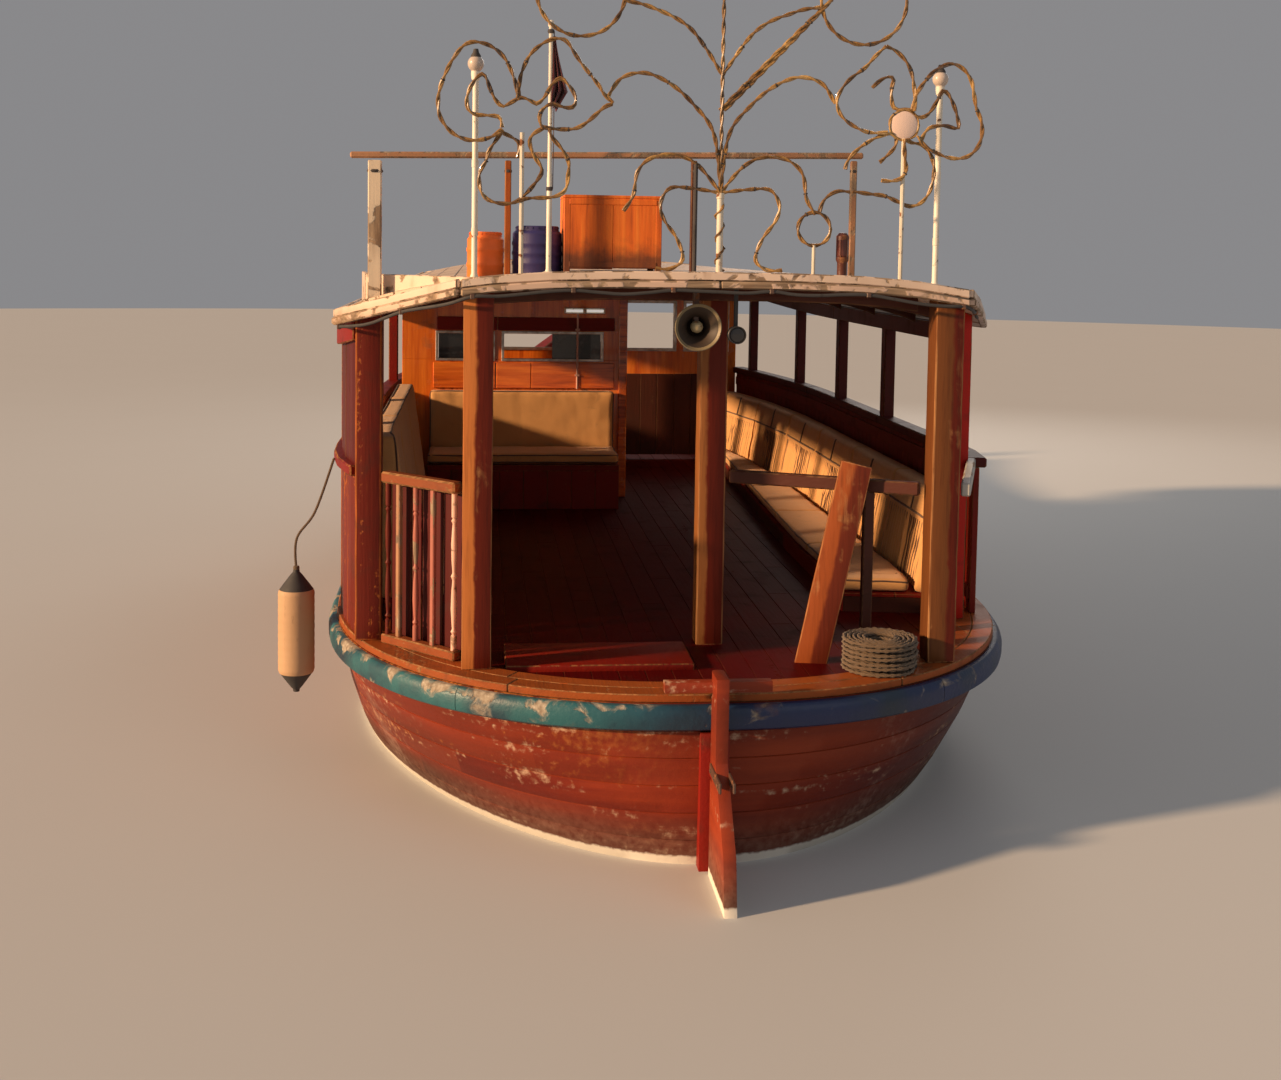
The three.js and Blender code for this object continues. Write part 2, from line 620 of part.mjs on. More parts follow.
// A small ring on a stem inside a lobe
function petal(cx, cz, direction, reach) {
  const at = (out) => [cx + out * Math.cos(direction), FIGURE.y, cz + out * Math.sin(direction)];
  const ring = new THREE.TorusGeometry(reach * 0.15, 13, 6, 14).rotateX(Math.PI / 2);
  return unite(ring.translate(...at(reach * 0.5)), rod(at(30), at(reach * 0.35), 11, 6));
}

function flower(cx, cz, mirrored) {
  const loops = LOBES.flatMap(([degrees, reach, half]) => {
    const direction = THREE.MathUtils.degToRad(mirrored ? 180 - degrees : degrees);
    return [
      lobe(cx, cz, direction, reach, THREE.MathUtils.degToRad(half)),
      petal(cx, cz, direction, reach),
    ];
  });
  const disc = new THREE.CylinderGeometry(FIGURE.disc, FIGURE.disc, 44, 16).translate(cx, FIGURE.y, cz);
  const stalk = rod([cx, FIGURE.y, footing(cx, 30)], [cx, FIGURE.y, cz], 14, 6);
  return standOnRoof(unite(loops, disc, stalk));
}

// Knots [out, up] of each frond from the palm's heart
const FRONDS = [
  [[0, 20], [40, 300], [150, 450], [270, 550], [400, 600], [520, 570], [590, 470]],
  [[0, 0], [120, 140], [240, 190], [360, 170], [430, 100], [450, -20], [500, -100]],
  [[0, 600], [170, 830], [370, 930], [510, 960]],
  [[0, 0], [140, 20], [260, 20], [310, -60], [290, -140], [220, -240], [190, -340], [250, -392], [330, -392]],
];
const PALM = { x: 80, y: FIGURE.y + 45, heart: 3300, top: 4700, ring: [730, 1000, 225] };

function palm() {
  const { x, y, heart, top, ring } = PALM;
  const at = (side, [out, up]) => [x + side * out, y, heart + up];
  const trunk = rod([x, y, heart - 30], [x, y, top], FIGURE.radius, 8);
  const pipe = rod([x, y, footing(x, 30)], [x, y, heart], 24, 10);
  const stake = rod([x - 130, y, footing(x, 150)], at(-1, [130, 145]), 12, 6);
  const brace = rod(at(1, [0, 420]), at(1, [560, 1000]), 20, 8);
  const leaves = Object.values(SIDES).flatMap((side) => [
    ...FRONDS.map((knots) => tube(knots.map((knot) => at(side, knot)), FIGURE.radius, 4 * knots.length)),
    new THREE.TorusGeometry(ring[2], FIGURE.radius, 6, 18).rotateX(Math.PI / 2).translate(...at(side, ring)),
  ]);
  return standOnRoof(unite(trunk, pipe, stake, brace, leaves));
}

function horn() {
  const profile = [[0, 150], [25, 150], [30, 60], [60, 20], [118, 0], [122, 6], [66, 30], [45, 170], [0, 170]];
  const bell = new THREE.LatheGeometry(profile.map(([r, z]) => new THREE.Vector2(r, z)), 18)
    .translate(-30, -5770, 2610);
  const hanger = block(-45, -15, -5690, -5640, 2610, roofUnder(60) - FIT);
  return unite(bell, hanger);
}

// Small lamps: one hung beside the horn, one on a stand on the roof, one on the bulkhead
function floodlight() {
  const [x, y, z] = [170, -5750, 2573];
  const shell = rod([x, y - 45, z], [x, y + 35, z], 46, 16);
  const bracket = block(x - 12, x + 12, y + 10, y + 30, z, roofUnder(x + 12) - FIT);
  return unite(shell, bracket);
}

function beacon() {
  const [x, y] = [755, -5600];
  const foot = footing(x, 34);
  const stand = rod([x, y, foot], [x, y, 2970], 27, 12);
  const lamp = rod([x, y, 2960], [x, y, 3110], 34, 12);
  return standOnRoof(unite(stand, lamp));
}

// Raised boards on the roof's port quarter, level on top
function roofCoaming() {
  const path = [[-1270, -5832], [-1885, -5200], [-1965, -4400]];
  const low = (x) => roofUnder(Math.abs(x)) + 45;
  return standOnRoof(band(path, 130, 158, low, level(CROWN_Z + 38)));
}

// A spare plank that leans on the entry rail
const LEAN_Y = -5650;
function leaningPlank() {
  const plank = bar([608, -5668, DECK_Z - 60], [850, LEAN_Y, SILL_Z + 90], 170, 40);
  return cut(plank, block(300, 900, -5900, -5400, DECK_Z - 200, DECK_Z + FIT));
}

// Mooring rope coiled on the starboard quarter
function ropeCoil() {
  const [x, y, outer, inner, height] = [925, -5925, 200, 70, 190];
  const half = height / 2;
  const profile = [[inner, 0], [outer - 40, 0], [outer, half], [outer - 40, height], [inner, height], [inner, 0]];
  const ring = new THREE.LatheGeometry(profile.map(([r, z]) => new THREE.Vector2(r, z)), 24);
  return ring.rotateX(Math.PI / 2).translate(x, y, FLOOR_Z + 2 * FIT);
}

function fender() {
  const [x, y] = [-2190, -4600];
  const profile = [[0, 400], [20, 400], [100, 520], [105, 560], [105, 960], [100, 1000], [20, 1120], [0, 1120]];
  const float = new THREE.LatheGeometry(profile.map(([r, z]) => new THREE.Vector2(r, z)), 14)
    .rotateX(Math.PI / 2).translate(x, y, 0);
  const hook = -(deckHalf(y) - WALL_INSET.port + 60 + 9.4);
  const line = rod([x, y, 1110], [hook, y, SILL_Z - 30], 9, 6);
  return unite(float, line);
}

const group = new THREE.Group();

function add(name, geometry, material) {
  const mesh = new THREE.Mesh(geometry, material.clone());
  mesh.name = name;
  group.add(mesh);
  return mesh;
}

add('hull', hull(), HULL_PAINT);
add('backbone', backbone(), WOOD_RED);
for (const name of Object.keys(SIDES)) {
  add(`rubbing_strake_${name}`, sideOf(name, rubbingStrake()), BLUE_PAINT);
  add(`covering_board_${name}`, sideOf(name, coveringBoard()), WOOD_ORANGE);
}
add('bow_bulwark', bowBulwark(), WOOD_ORANGE);
add('rudder', rudder(), HULL_PAINT);
add('propeller', propeller(), BRONZE);
add('roof', roof(), WOOD_CREAM);
add('roof_beams', roofBeams(), WOOD_RED);
add('roof_edge', roofEdge(), WOOD_CREAM);
for (const [name, row] of Object.entries(POSTS)) add(name, aftPost(row), WOOD_ORANGE);
for (const name of Object.keys(SIDES)) {
  const bay = name === 'port' ? [quarterBoards()] : [];
  add(`side_planks_${name}`, sidePlanks(name), WOOD_RED);
  add(`side_frame_${name}`, unite(sideFrame(name), bay), WOOD_RED);
  add(`bench_${name}`, sideBench(name), WOOD_RED);
  add(`seat_cushion_${name}`, sideSeat(name), CLOTH);
  add(`back_cushion_${name}`, sideBack(name), CLOTH);
}
add('landing_board', block(-1000, -20, -5780, -5330, DECK_Z + FIT, FLOOR_Z + FIT), WOOD_RED);
add('quarter_balustrade', quarterBalustrade(), WOOD_ORANGE);
add('entry_rail', entryRail(), WOOD_ORANGE);
add('quarter_rail', quarterRailStarboard(), WOOD_CREAM);
add('bulkhead', cut(bulkheadWall(), panelBox(BULKHEAD.windowLow)), WOOD_ORANGE);
add('bulkhead_panel', intersect(bulkheadWall(), panelBox(BULKHEAD.windowLow - FIT)), WOOD_ORANGE);
const fb = FORWARD_BENCH;
add('bench_forward', block(fb.from, fb.to, fb.y0, fb.y1, DECK_Z + FIT, fb.top), WOOD_RED);
add('seat_cushion_forward', block(fb.from, fb.to, fb.y0, fb.y1 - 160, fb.top + FIT, fb.top + 100), CLOTH);
add('back_cushion_forward', block(fb.from, fb.to, fb.y1 - 150, fb.y1, fb.top + FIT, fb.top + 570), CLOTH);
add('cabin_front', cabinFront(), WOOD_ORANGE);
add('steering_wheel', steeringWheel(), WOOD_ORANGE);
add('helm_stand', helmStand(), WOOD_ORANGE);
add('hatch_coaming', hatchCoaming(), WOOD_RED);
add('hatch_lid', hatchLid(), WOOD_ORANGE);
add('bow_bitts', bowBitts(), WOOD_ORANGE);
add('lamp_pole_port', pole(-1175, -5600, 1080, 22, 60), WHITE_METAL);
add('lamp_pole_starboard', pole(1260, -5600, 1080, 22, 60), WHITE_METAL);
add('flagstaff', pole(-785, -5420, 1330, 20), WHITE_METAL);
add('drum_orange', drum(-1115, -5000, 105, 260), tone(0xc0481c, 0.5));
add('drum_blue', drum(-830, -5000, 140, 270), tone(0x243a78, 0.5));
const locker = block(-690, -150, -5150, -4750, footing(690, 0), footing(690, 0) + 430);
add('locker', standOnRoof(locker), WOOD_ORANGE);
add('awning_rail', awningRail(), WOOD_ORANGE);
add('figure_port', flower(-940, 3650, true), ROPE);
add('figure_starboard', flower(1050, 3670, false), ROPE);
add('figure_palm', palm(), ROPE);
add('horn', horn(), tone(0x777766, 0.6));
add('fender', fender(), tone(0xc9a877, 0.8));
add('floodlight', floodlight(), tone(0x1c1c1c, 0.4));
add('beacon', beacon(), tone(0x3a1610, 0.6));
const lampPlace = [-400, -40, WHEELHOUSE_Y - 45, WHEELHOUSE_Y - FIT, DECK_Z + 1620, DECK_Z + 1670];
add('cabin_lamp', block(...lampPlace), WHITE_METAL);
add('roof_coaming', roofCoaming(), WOOD_CREAM);
add('leaning_plank', leaningPlank(), WOOD_ORANGE);
add('rope_coil', ropeCoil(), tone(0x6b5a3c, 0.95));
export default group;
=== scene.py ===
"""A wooden passenger dhow: planking, weathered timbers, cushions, roof gear and rope lights on its frame."""

import random
from functools import cache
from math import atan2, copysign, cos, pi, radians, sin, tau

import bmesh
import bpy
from mathutils import Matrix, Vector, noise


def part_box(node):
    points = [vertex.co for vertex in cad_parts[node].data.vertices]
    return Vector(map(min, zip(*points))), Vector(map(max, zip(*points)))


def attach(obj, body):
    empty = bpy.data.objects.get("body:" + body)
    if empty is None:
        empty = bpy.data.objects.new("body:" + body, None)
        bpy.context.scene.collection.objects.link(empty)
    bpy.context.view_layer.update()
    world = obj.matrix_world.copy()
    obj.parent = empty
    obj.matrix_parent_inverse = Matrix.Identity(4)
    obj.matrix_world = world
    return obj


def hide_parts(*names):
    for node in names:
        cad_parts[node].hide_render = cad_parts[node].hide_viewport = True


bl_info = {
    "name": "Passenger Dhow",
    "version": (1, 0, 0),
    "blender": (4, 5, 0),
    "location": "View3D > Sidebar > Dhow",
    "description": "Builds the finish of a wooden passenger dhow around its packed frame",
    "category": "Object",
}

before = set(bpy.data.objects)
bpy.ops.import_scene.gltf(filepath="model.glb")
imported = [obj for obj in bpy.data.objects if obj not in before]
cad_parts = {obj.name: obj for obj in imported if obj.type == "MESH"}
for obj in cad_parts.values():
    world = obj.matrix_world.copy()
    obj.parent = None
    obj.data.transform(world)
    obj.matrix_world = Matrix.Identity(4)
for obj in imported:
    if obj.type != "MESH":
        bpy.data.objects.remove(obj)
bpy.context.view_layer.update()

X, Y, Z = Vector((1, 0, 0)), Vector((0, 1, 0)), Vector((0, 0, 1))
TINTS = random.Random(11)


class Wire:
    """A shader value that takes part in Python sums."""

    def __init__(self, paint, socket):
        self.paint, self.socket = paint, socket

    def sum(self, operation, first, second):
        return self.paint.node("ShaderNodeMath", {"operation": operation}, [first, second])

    def __add__(self, other):
        return self.sum("ADD", self, other)

    def __mul__(self, other):
        return self.sum("MULTIPLY", self, other)

    def __sub__(self, other):
        return self.sum("SUBTRACT", self, other)

    def __rsub__(self, other):
        return self.sum("SUBTRACT", other, self)

    __radd__, __rmul__ = __add__, __mul__


class Paint:
    """One procedural material and the nodes it is made of."""

    def __init__(self, name):
        self.material = bpy.data.materials.new(name)
        self.material.use_nodes = True
        self.tree = self.material.node_tree
        self.shader = self.tree.nodes["Principled BSDF"]
        self.place = self.node("ShaderNodeTexCoord", out="Object")

    def node(self, kind, settings=None, inputs=(), out=None):
        """Adds a node, sets it up, feeds its sockets by place or name, and gives back one output."""
        made = self.tree.nodes.new(kind)
        for key, value in (settings or {}).items():
            if key == "stops":
                self.stop(made.color_ramp, value)
            else:
                setattr(made, key, value)
        pairs = inputs.items() if isinstance(inputs, dict) else enumerate(inputs)
        for key, value in pairs:
            self.feed(made.inputs[key], value)
        outputs = [socket for socket in made.outputs if socket.enabled]
        return Wire(self, made.outputs[out] if out is not None else outputs[0])

    def stop(self, ramp, stops):
        while len(ramp.elements) < len(stops):
            ramp.elements.new(1.0)
        for element, (at, color) in zip(ramp.elements, stops):
            element.position, element.color = at, (*color, 1.0)

    def feed(self, socket, value):
        if isinstance(value, Wire):
            self.tree.links.new(value.socket, socket)
        elif hasattr(value, "__len__") and len(value) == 3 and socket.type == "RGBA":
            socket.default_value = (*value, 1.0)
        else:
            socket.default_value = value

    def stretched(self, scale, turn=(0, 0, 0)):
        return self.node("ShaderNodeMapping", {}, {"Vector": self.place, "Scale": scale, "Rotation": turn})

    def noise(self, scale, detail, vector=None, distortion=0.0):
        inputs = {"Vector": vector or self.place, "Scale": scale, "Detail": detail, "Roughness": 0.55,
                  "Distortion": distortion}
        return self.node("ShaderNodeTexNoise", {}, inputs, "Fac")

    def step(self, value, low, high):
        """0 below low, 1 above high, smooth between."""
        inputs = {"Value": value, "From Min": low, "From Max": high}
        return self.node("ShaderNodeMapRange", {"interpolation_type": "SMOOTHSTEP"}, inputs, "Result")

    def span(self, value, low, high):
        """A 0 to 1 value spread between low and high."""
        return self.node("ShaderNodeMapRange", {}, {"Value": value, "To Min": low, "To Max": high}, "Result")

    def ramp(self, value, stops):
        return self.node("ShaderNodeValToRGB", {"stops": stops}, {"Fac": value}, "Color")

    def mix(self, factor, first, second):
        return self.node("ShaderNodeMix", {"data_type": "RGBA"}, {0: factor, 6: first, 7: second}, 2)

    def mark(self, name):
        """A number stored on the faces of a piece."""
        return self.node("ShaderNodeAttribute", {"attribute_name": name}, (), "Fac")

    def axis(self, name):
        return self.node("ShaderNodeSeparateXYZ", {}, [self.place], name)

    def finish(self, color, roughness, relief=None, depth=0.0, **fixed):
        """Feeds the shader, with a relief as its bump, and gives back the material."""
        self.feed(self.shader.inputs["Base Color"], color)
        self.feed(self.shader.inputs["Roughness"], roughness)
        if relief:
            inputs = {"Height": relief, "Distance": depth, "Strength": 1.0}
            self.feed(self.shader.inputs["Normal"], self.node("ShaderNodeBump", {}, inputs, "Normal"))
        for key, value in fixed.items():
            self.feed(self.shader.inputs[key.replace("_", " ")], value)
        return self.material


def toned(color, share, lift=0.0):
    """A colour made darker or brighter."""
    return tuple(min(1.0, c * share + lift) for c in color)


GRAIN = {"X": (0.07, 1, 1), "Y": (1, 0.07, 1), "Z": (1, 1, 0.07)}


@cache
def worn_timber(name, paint, wood, grain, wear, grime=0.5, shine=0.22):
    """Timber whose paint or varnish has worn through on edges and in streaks along the grain."""
    p = Paint(name + "_" + grain.lower())
    along = p.stretched(GRAIN[grain])
    fibre = p.noise(60, 5, along)
    streak = p.noise(11, 4, along, 0.6)
    cloud = p.noise(2.2, 3)
    speck = p.noise(34, 6)
    tint = p.mark("tint")
    bare = p.step(streak * 0.6 + speck * 0.35 + p.mark("worn") * 0.22 + cloud * 0.25,
                  0.86 - 0.3 * wear, 0.93 - 0.3 * wear)
    dark = toned(wood, 0.45)
    old = p.mix(p.step(fibre, 0.35, 0.7), dark, wood)
    coat = p.mix(p.span(cloud, 0.0, 0.55), paint, toned(paint, 0.5))
    coat = p.mix(p.span(tint, 0.0, 0.4), coat, toned(paint, 1.5))
    coat = p.mix(p.step(fibre, 0.55, 0.85) * 0.35, coat, dark)
    color = p.mix(bare, coat, old)
    dirt = p.step(p.noise(5, 6, None, 0.8) + cloud * 0.3, 0.66, 0.95)
    color = p.mix(dirt * grime, color, (0.035, 0.02, 0.014))
    height = fibre * 0.5 + streak * 0.3 - bare * 0.35
    return p.finish(color, p.span(bare + dirt * 0.3, 0.5, 0.9), height, 0.004, Specular_IOR_Level=shine)


@cache
def hull_paint():
    """Maroon bottom paint over carvel planks, with ochre patches to port as painted sunlight and a darker
    starboard side as painted shade, with salt and weed at the water.
    """
    p = Paint("hull_paint")
    z = p.axis("Z")
    along = p.stretched((0.12, 0.12, 1))
    cloud, speck = p.noise(1.3, 4), p.noise(26, 7)
    scrape = p.noise(9, 5, along, 0.5)
    base = p.ramp(p.noise(3.0, 5, along), [(0.3, (0.05, 0.007, 0.004)), (0.5, (0.15, 0.016, 0.008)),
                                           (0.72, (0.34, 0.05, 0.014))])
    base = p.mix(p.span(p.mark("tint"), 0.0, 0.35), base, (0.36, 0.07, 0.02))
    # The port side is marked for painted sunlight; the ochre patches there are painted sunlight mixed with
    # peeled paint
    painted_sunlight_side = p.step(p.axis("X") * -1.0 + (cloud - 0.5) * 1.2, 0.0, 1.5)
    base = p.mix(painted_sunlight_side * p.step(speck * 0.3 + p.noise(2.1, 5, along) * 0.8, 0.55, 0.64) * 0.85, base,
                 (0.52, 0.20, 0.045))
    # The starboard side is darkened as painted shade
    base = p.mix(p.step(p.axis("X"), 0.1, 1.5) * 0.65, base, (0.04, 0.014, 0.011))
    worn = p.step(scrape * 0.7 + speck * 0.35, 0.6, 0.72)
    color = p.mix(worn * 0.8, base, p.ramp(speck, [(0.35, (0.30, 0.15, 0.08)), (0.7, (0.55, 0.40, 0.29))]))
    chalk = p.step(cloud + speck * 0.3, 0.72, 0.9)
    color = p.mix(chalk * 0.35, color, (0.50, 0.36, 0.28))
    edge = z + (speck - 0.5) * 0.10 + (cloud - 0.5) * 0.12
    weed = 1 - p.step(edge, 0.05, 0.30)
    color = p.mix(weed * 0.6, color, p.ramp(speck, [(0.3, (0.035, 0.025, 0.02)), (0.7, (0.16, 0.13, 0.10))]))
    salt = 1 - p.step(z + (speck - 0.5) * 0.03, 0.034, 0.05)
    color = p.mix(salt * 0.9, color, (0.74, 0.71, 0.63))
    below = 1 - p.step(z, -0.09, -0.02)
    color = p.mix(below * 0.85, color, (0.035, 0.04, 0.03))
    height = scrape * 0.5 + speck * 0.4 - worn * 0.4
    return p.finish(color, p.span(worn + weed, 0.5, 0.9), height, 0.005, Specular_IOR_Level=0.22)


@cache
def strake_paint():
    """Teal rubbing strake rubbed back to white undercoat and grey wood, with brighter teal and a stronger
    worn top edge to port as painted sunlight.
    """
    p = Paint("strake_paint")
    x = p.axis("X")
    scuff, speck = p.noise(6.5, 7, None, 0.7), p.noise(38, 6)
    # Brighter teal to port, as painted sunlight
    painted_sunlight_side = p.step(x * -1.0, -0.3, 0.9)
    teal = p.mix(painted_sunlight_side, (0.006, 0.02, 0.085), (0.018, 0.115, 0.135))
    teal = p.mix(p.step(p.noise(2.5, 4), 0.4, 0.7), teal, (0.008, 0.025, 0.05))
    aft = 1 - p.step(p.axis("Y"), 1.0, 2.0)
    # A worn cream top edge aft, stronger to port as a painted highlight
    worn_sunlit_rim = p.step(p.axis("Z") + (scuff - 0.5) * 0.12, 0.775, 0.80) * aft * (painted_sunlight_side * 0.75 + 0.1)
    worn = p.step(scuff + p.mark("worn") * 0.08 + worn_sunlit_rim * 0.17, 0.6, 0.74)
    under = p.ramp(speck, [(0.3, (0.17, 0.12, 0.08)), (0.6, (0.36, 0.31, 0.24)), (0.8, (0.6, 0.55, 0.46))])
    color = p.mix(worn, teal, under)
    rust = p.step(p.noise(4.0, 5), 0.62, 0.75)
    color = p.mix(rust * 0.5, color, (0.20, 0.08, 0.03))
    return p.finish(color, p.span(worn, 0.45, 0.85), speck * 0.4 - worn * 0.6, 0.006)


@cache
def cream_paint(name, base, grain, flaked=0.5):
    """Thick cream paint, flaked to grey wood, with brown weeps."""
    p = Paint(name + "_" + grain.lower())
    along = p.stretched(GRAIN[grain])
    flake, fibre, cloud = p.noise(8, 8, None, 0.5), p.noise(50, 4, along), p.noise(2.0, 4)
    old = p.ramp(fibre, [(0.3, (0.11, 0.07, 0.045)), (0.7, (0.40, 0.29, 0.19))])
    coat = p.mix(p.step(cloud, 0.35, 0.75), base, toned(base, 0.68))
    bare = p.step(flake + p.mark("worn") * 0.1, 0.68 - 0.24 * flaked, 0.74 - 0.24 * flaked)
    coat = p.mix(p.span(p.mark("tint"), 0.0, 0.35), coat, toned(base, 0.72))
    weep = p.step(p.noise(7, 5, p.stretched((1, 1, 0.25))), 0.55, 0.8)
    color = p.mix(weep * 0.55, p.mix(bare, coat, old), (0.24, 0.12, 0.05))
    return p.finish(color, p.span(bare, 0.5, 0.85), fibre * 0.3 - bare * 0.5, 0.004)


@cache
def cloth(name, base, weave=420.0, stain=0.5):
    """Upholstery cloth with a fine weave, faded and stained."""
    p = Paint(name)
    warp = p.node("ShaderNodeTexWave", {"wave_type": "BANDS", "bands_direction": "X"},
                  {"Vector": p.place, "Scale": weave / 6.3, "Distortion": 1.5}, "Fac")
    weft = p.node("ShaderNodeTexWave", {"wave_type": "BANDS", "bands_direction": "Y"},
        {"Vector": p.stretched((1, 1, 1), (0.6, 0, 0)), "Scale": weave / 6.3, "Distortion": 1.5}, "Fac")
    cloud, blot = p.noise(3.0, 4), p.noise(7.0, 5, None, 1.0)
    color = p.mix(p.span(cloud, 0.0, 0.6), base, toned(base, 0.62))
    color = p.mix(p.step(blot, 0.58, 0.8) * stain, color, (0.26, 0.15, 0.07))
    color = p.mix(warp * weft * 0.25, color, toned(base, 0.5))
    return p.finish(color, p.span(cloud, 0.85, 0.97), warp * 0.5 + weft * 0.5 + cloud * 2.0, 0.0012,
                    Sheen_Weight=0.25)


@cache
def painted_metal(name, base, rust=0.4, roughness=0.45):
    """Painted metal with chips and rust."""
    p = Paint(name)
    chip, speck = p.noise(14, 7, None, 0.4), p.noise(60, 4)
    bare = p.step(chip, 0.66 - 0.12 * rust, 0.72 - 0.12 * rust)
    color = p.mix(p.step(p.noise(5, 4), 0.4, 0.8) * 0.4, base, toned(base, 0.6))
    color = p.mix(bare, color, p.ramp(speck, [(0.3, (0.08, 0.03, 0.015)), (0.7, (0.28, 0.11, 0.04))]))
    return p.finish(color, p.span(bare, roughness, 0.85), speck * 0.3 - bare * 0.4, 0.0015)


@cache
def plastic(name, base, roughness=0.4):
    """Scuffed moulded plastic, faded by the sun."""
    p = Paint(name)
    fade, scratch = p.noise(4, 5), p.noise(30, 6, p.stretched((1, 1, 0.3)))
    color = p.mix(p.span(fade, 0.0, 0.7), base, toned(base, 1.25, 0.05))
    color = p.mix(p.step(scratch, 0.6, 0.75) * 0.5, color, toned(base, 0.45))
    return p.finish(color, p.span(scratch, roughness, roughness + 0.3), scratch, 0.001)


@cache
def rope_light(name="rope_light"):
    """Clear rope light gone amber, with the wire showing dark inside."""
    p = Paint(name)
    cloud = p.noise(6, 5)
    beads = p.noise(55, 3)
    color = p.ramp(cloud * 0.7 + beads * 0.3, [(0.36, (0.06, 0.03, 0.012)), (0.5, (0.20, 0.105, 0.03)),
                                               (0.64, (0.42, 0.26, 0.085)), (0.8, (0.62, 0.46, 0.22))])
    return p.finish(color, 0.38, beads, 0.002, Coat_Weight=0.2)


@cache
def bronze():
    """Cast bronze, dull and green in the hollows."""
    p = Paint("bronze")
    cloud, grit = p.noise(9, 6), p.noise(80, 3)
    color = p.ramp(cloud, [(0.35, (0.10, 0.20, 0.14)), (0.5, (0.42, 0.27, 0.10)), (0.7, (0.62, 0.42, 0.18))])
    return p.finish(color, p.span(cloud, 0.6, 0.35), grit, 0.001, Metallic=0.85)


RED, ORANGE, WOOD = (0.19, 0.009, 0.004), (0.32, 0.075, 0.014), (0.30, 0.11, 0.04)


def red(grain, wear=0.45):
    return worn_timber("red_timber", RED, WOOD, grain, wear)


def orange(grain, wear):
    return worn_timber("orange_timber", ORANGE, (0.40, 0.18, 0.07), grain, wear)


def dark(grain):
    return worn_timber("dark_timber", (0.075, 0.022, 0.014), (0.18, 0.085, 0.045), grain, 0.4)


@cache
def sunlit_shaded_post(name, edge, lean, lit, shade=(0.115, 0.012, 0.004)):
    """Old varnish on a post, with painted sunlight in orange to port of a ragged edge and painted shade,
    nearly black, to starboard.
    """
    p = Paint(name)
    along = p.stretched(GRAIN["Z"])
    fibre, streak, blot = p.noise(48, 5, along), p.noise(10, 5, along, 0.5), p.noise(7, 6, None, 0.6)
    across = p.axis("X") - p.axis("Z") * lean + (streak - 0.5) * 0.05 + (blot - 0.5) * 0.04
    color = p.mix(p.step(across, edge - 0.008, edge + 0.014), lit, shade)
    color = p.mix(p.step(fibre, 0.45, 0.8) * 0.4, color, toned(shade, 0.3))
    worn = p.step(streak * 0.6 + blot * 0.4 + p.mark("worn") * 0.2, 0.58, 0.68)
    color = p.mix(worn * 0.6, color, p.ramp(fibre, [(0.35, (0.13, 0.05, 0.02)), (0.65, (0.52, 0.27, 0.11))]))
    return p.finish(color, p.span(worn, 0.5, 0.85), fibre * 0.5 + streak * 0.4 - worn * 0.4, 0.004,
                    Specular_IOR_Level=0.2)


# A darker red for the frames and linings inside the house, as painted shade
def dusk_red(grain):
    return worn_timber("dusk_red", (0.075, 0.004, 0.003), (0.16, 0.06, 0.025), grain, 0.4)


@cache
def varnish(grain):
    """Thick orange varnish over redwood boards, clouded and drawn along the grain."""
    p = Paint("varnish_" + grain.lower())
    fibre, figure = p.noise(46, 6, p.stretched(GRAIN[grain])), p.noise(9, 4, p.stretched(GRAIN[grain]), 1.2)
    color = p.ramp(figure * 0.65 + fibre * 0.35 + p.mark("tint") * 0.12,
                   [(0.35, (0.18, 0.022, 0.004)), (0.52, (0.60, 0.12, 0.010)), (0.72, (0.86, 0.24, 0.025))])
    scuff = p.step(p.noise(5.5, 6), 0.6, 0.74)
    color = p.mix(scuff * 0.45, color, (0.22, 0.10, 0.045))
    return p.finish(color, p.span(scuff, 0.24, 0.6), fibre * 0.5 + figure * 0.3, 0.0015, Coat_Weight=0.4)


@cache
def chrome():
    """Brushed metal trim with salt stains."""
    p = Paint("chrome")
    stain, brush = p.noise(16, 6), p.noise(90, 3, p.stretched((0.1, 1, 1)))
    color = p.ramp(stain, [(0.4, (0.62, 0.60, 0.56)), (0.65, (0.40, 0.34, 0.28))])
    return p.finish(color, p.span(stain, 0.22, 0.5), brush, 0.0004, Metallic=0.9)


@cache
def glass(name, base, roughness=0.12, glow=0.0):
    """Moulded glass or acrylic, dusty in patches."""
    p = Paint(name)
    dust = p.noise(5, 6)
    color = p.mix(p.step(dust, 0.5, 0.8) * 0.35, base, (0.42, 0.40, 0.36))
    return p.finish(color, p.span(dust, roughness, roughness + 0.3), dust, 0.0005, Coat_Weight=0.5,
                    Emission_Color=(*base, 1.0), Emission_Strength=glow)


@cache
def plywood():
    """Weathered plywood with raised grain, darker towards its foot."""
    p = Paint("plywood")
    fibre, figure = p.noise(40, 6, p.stretched((1, 1, 0.05))), p.noise(6, 4, p.stretched((1, 1, 0.12)), 1.5)
    color = p.ramp(figure * 0.6 + fibre * 0.4, [(0.32, (0.32, 0.055, 0.006)), (0.5, (0.72, 0.15, 0.012)),
                                                (0.7, (0.86, 0.26, 0.035))])
    ragged = p.axis("Z") + (p.noise(11, 5) - 0.5) * 0.22
    foot = 1 - p.step(ragged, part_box("locker")[0].z + 0.05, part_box("locker")[0].z + 0.2)
    color = p.mix(foot * 0.8, color, (0.05, 0.025, 0.015))
    return p.finish(color, p.span(fibre, 0.6, 0.85), fibre, 0.002)


def finish(maker, name, *looks):
    """A finish under its own name, made when a piece first asks for it."""
    return lambda: maker(name, *looks)


bright_red = finish(worn_timber, "bright_red", (0.42, 0.012, 0.006), (0.30, 0.10, 0.04), "Z", 0.35)
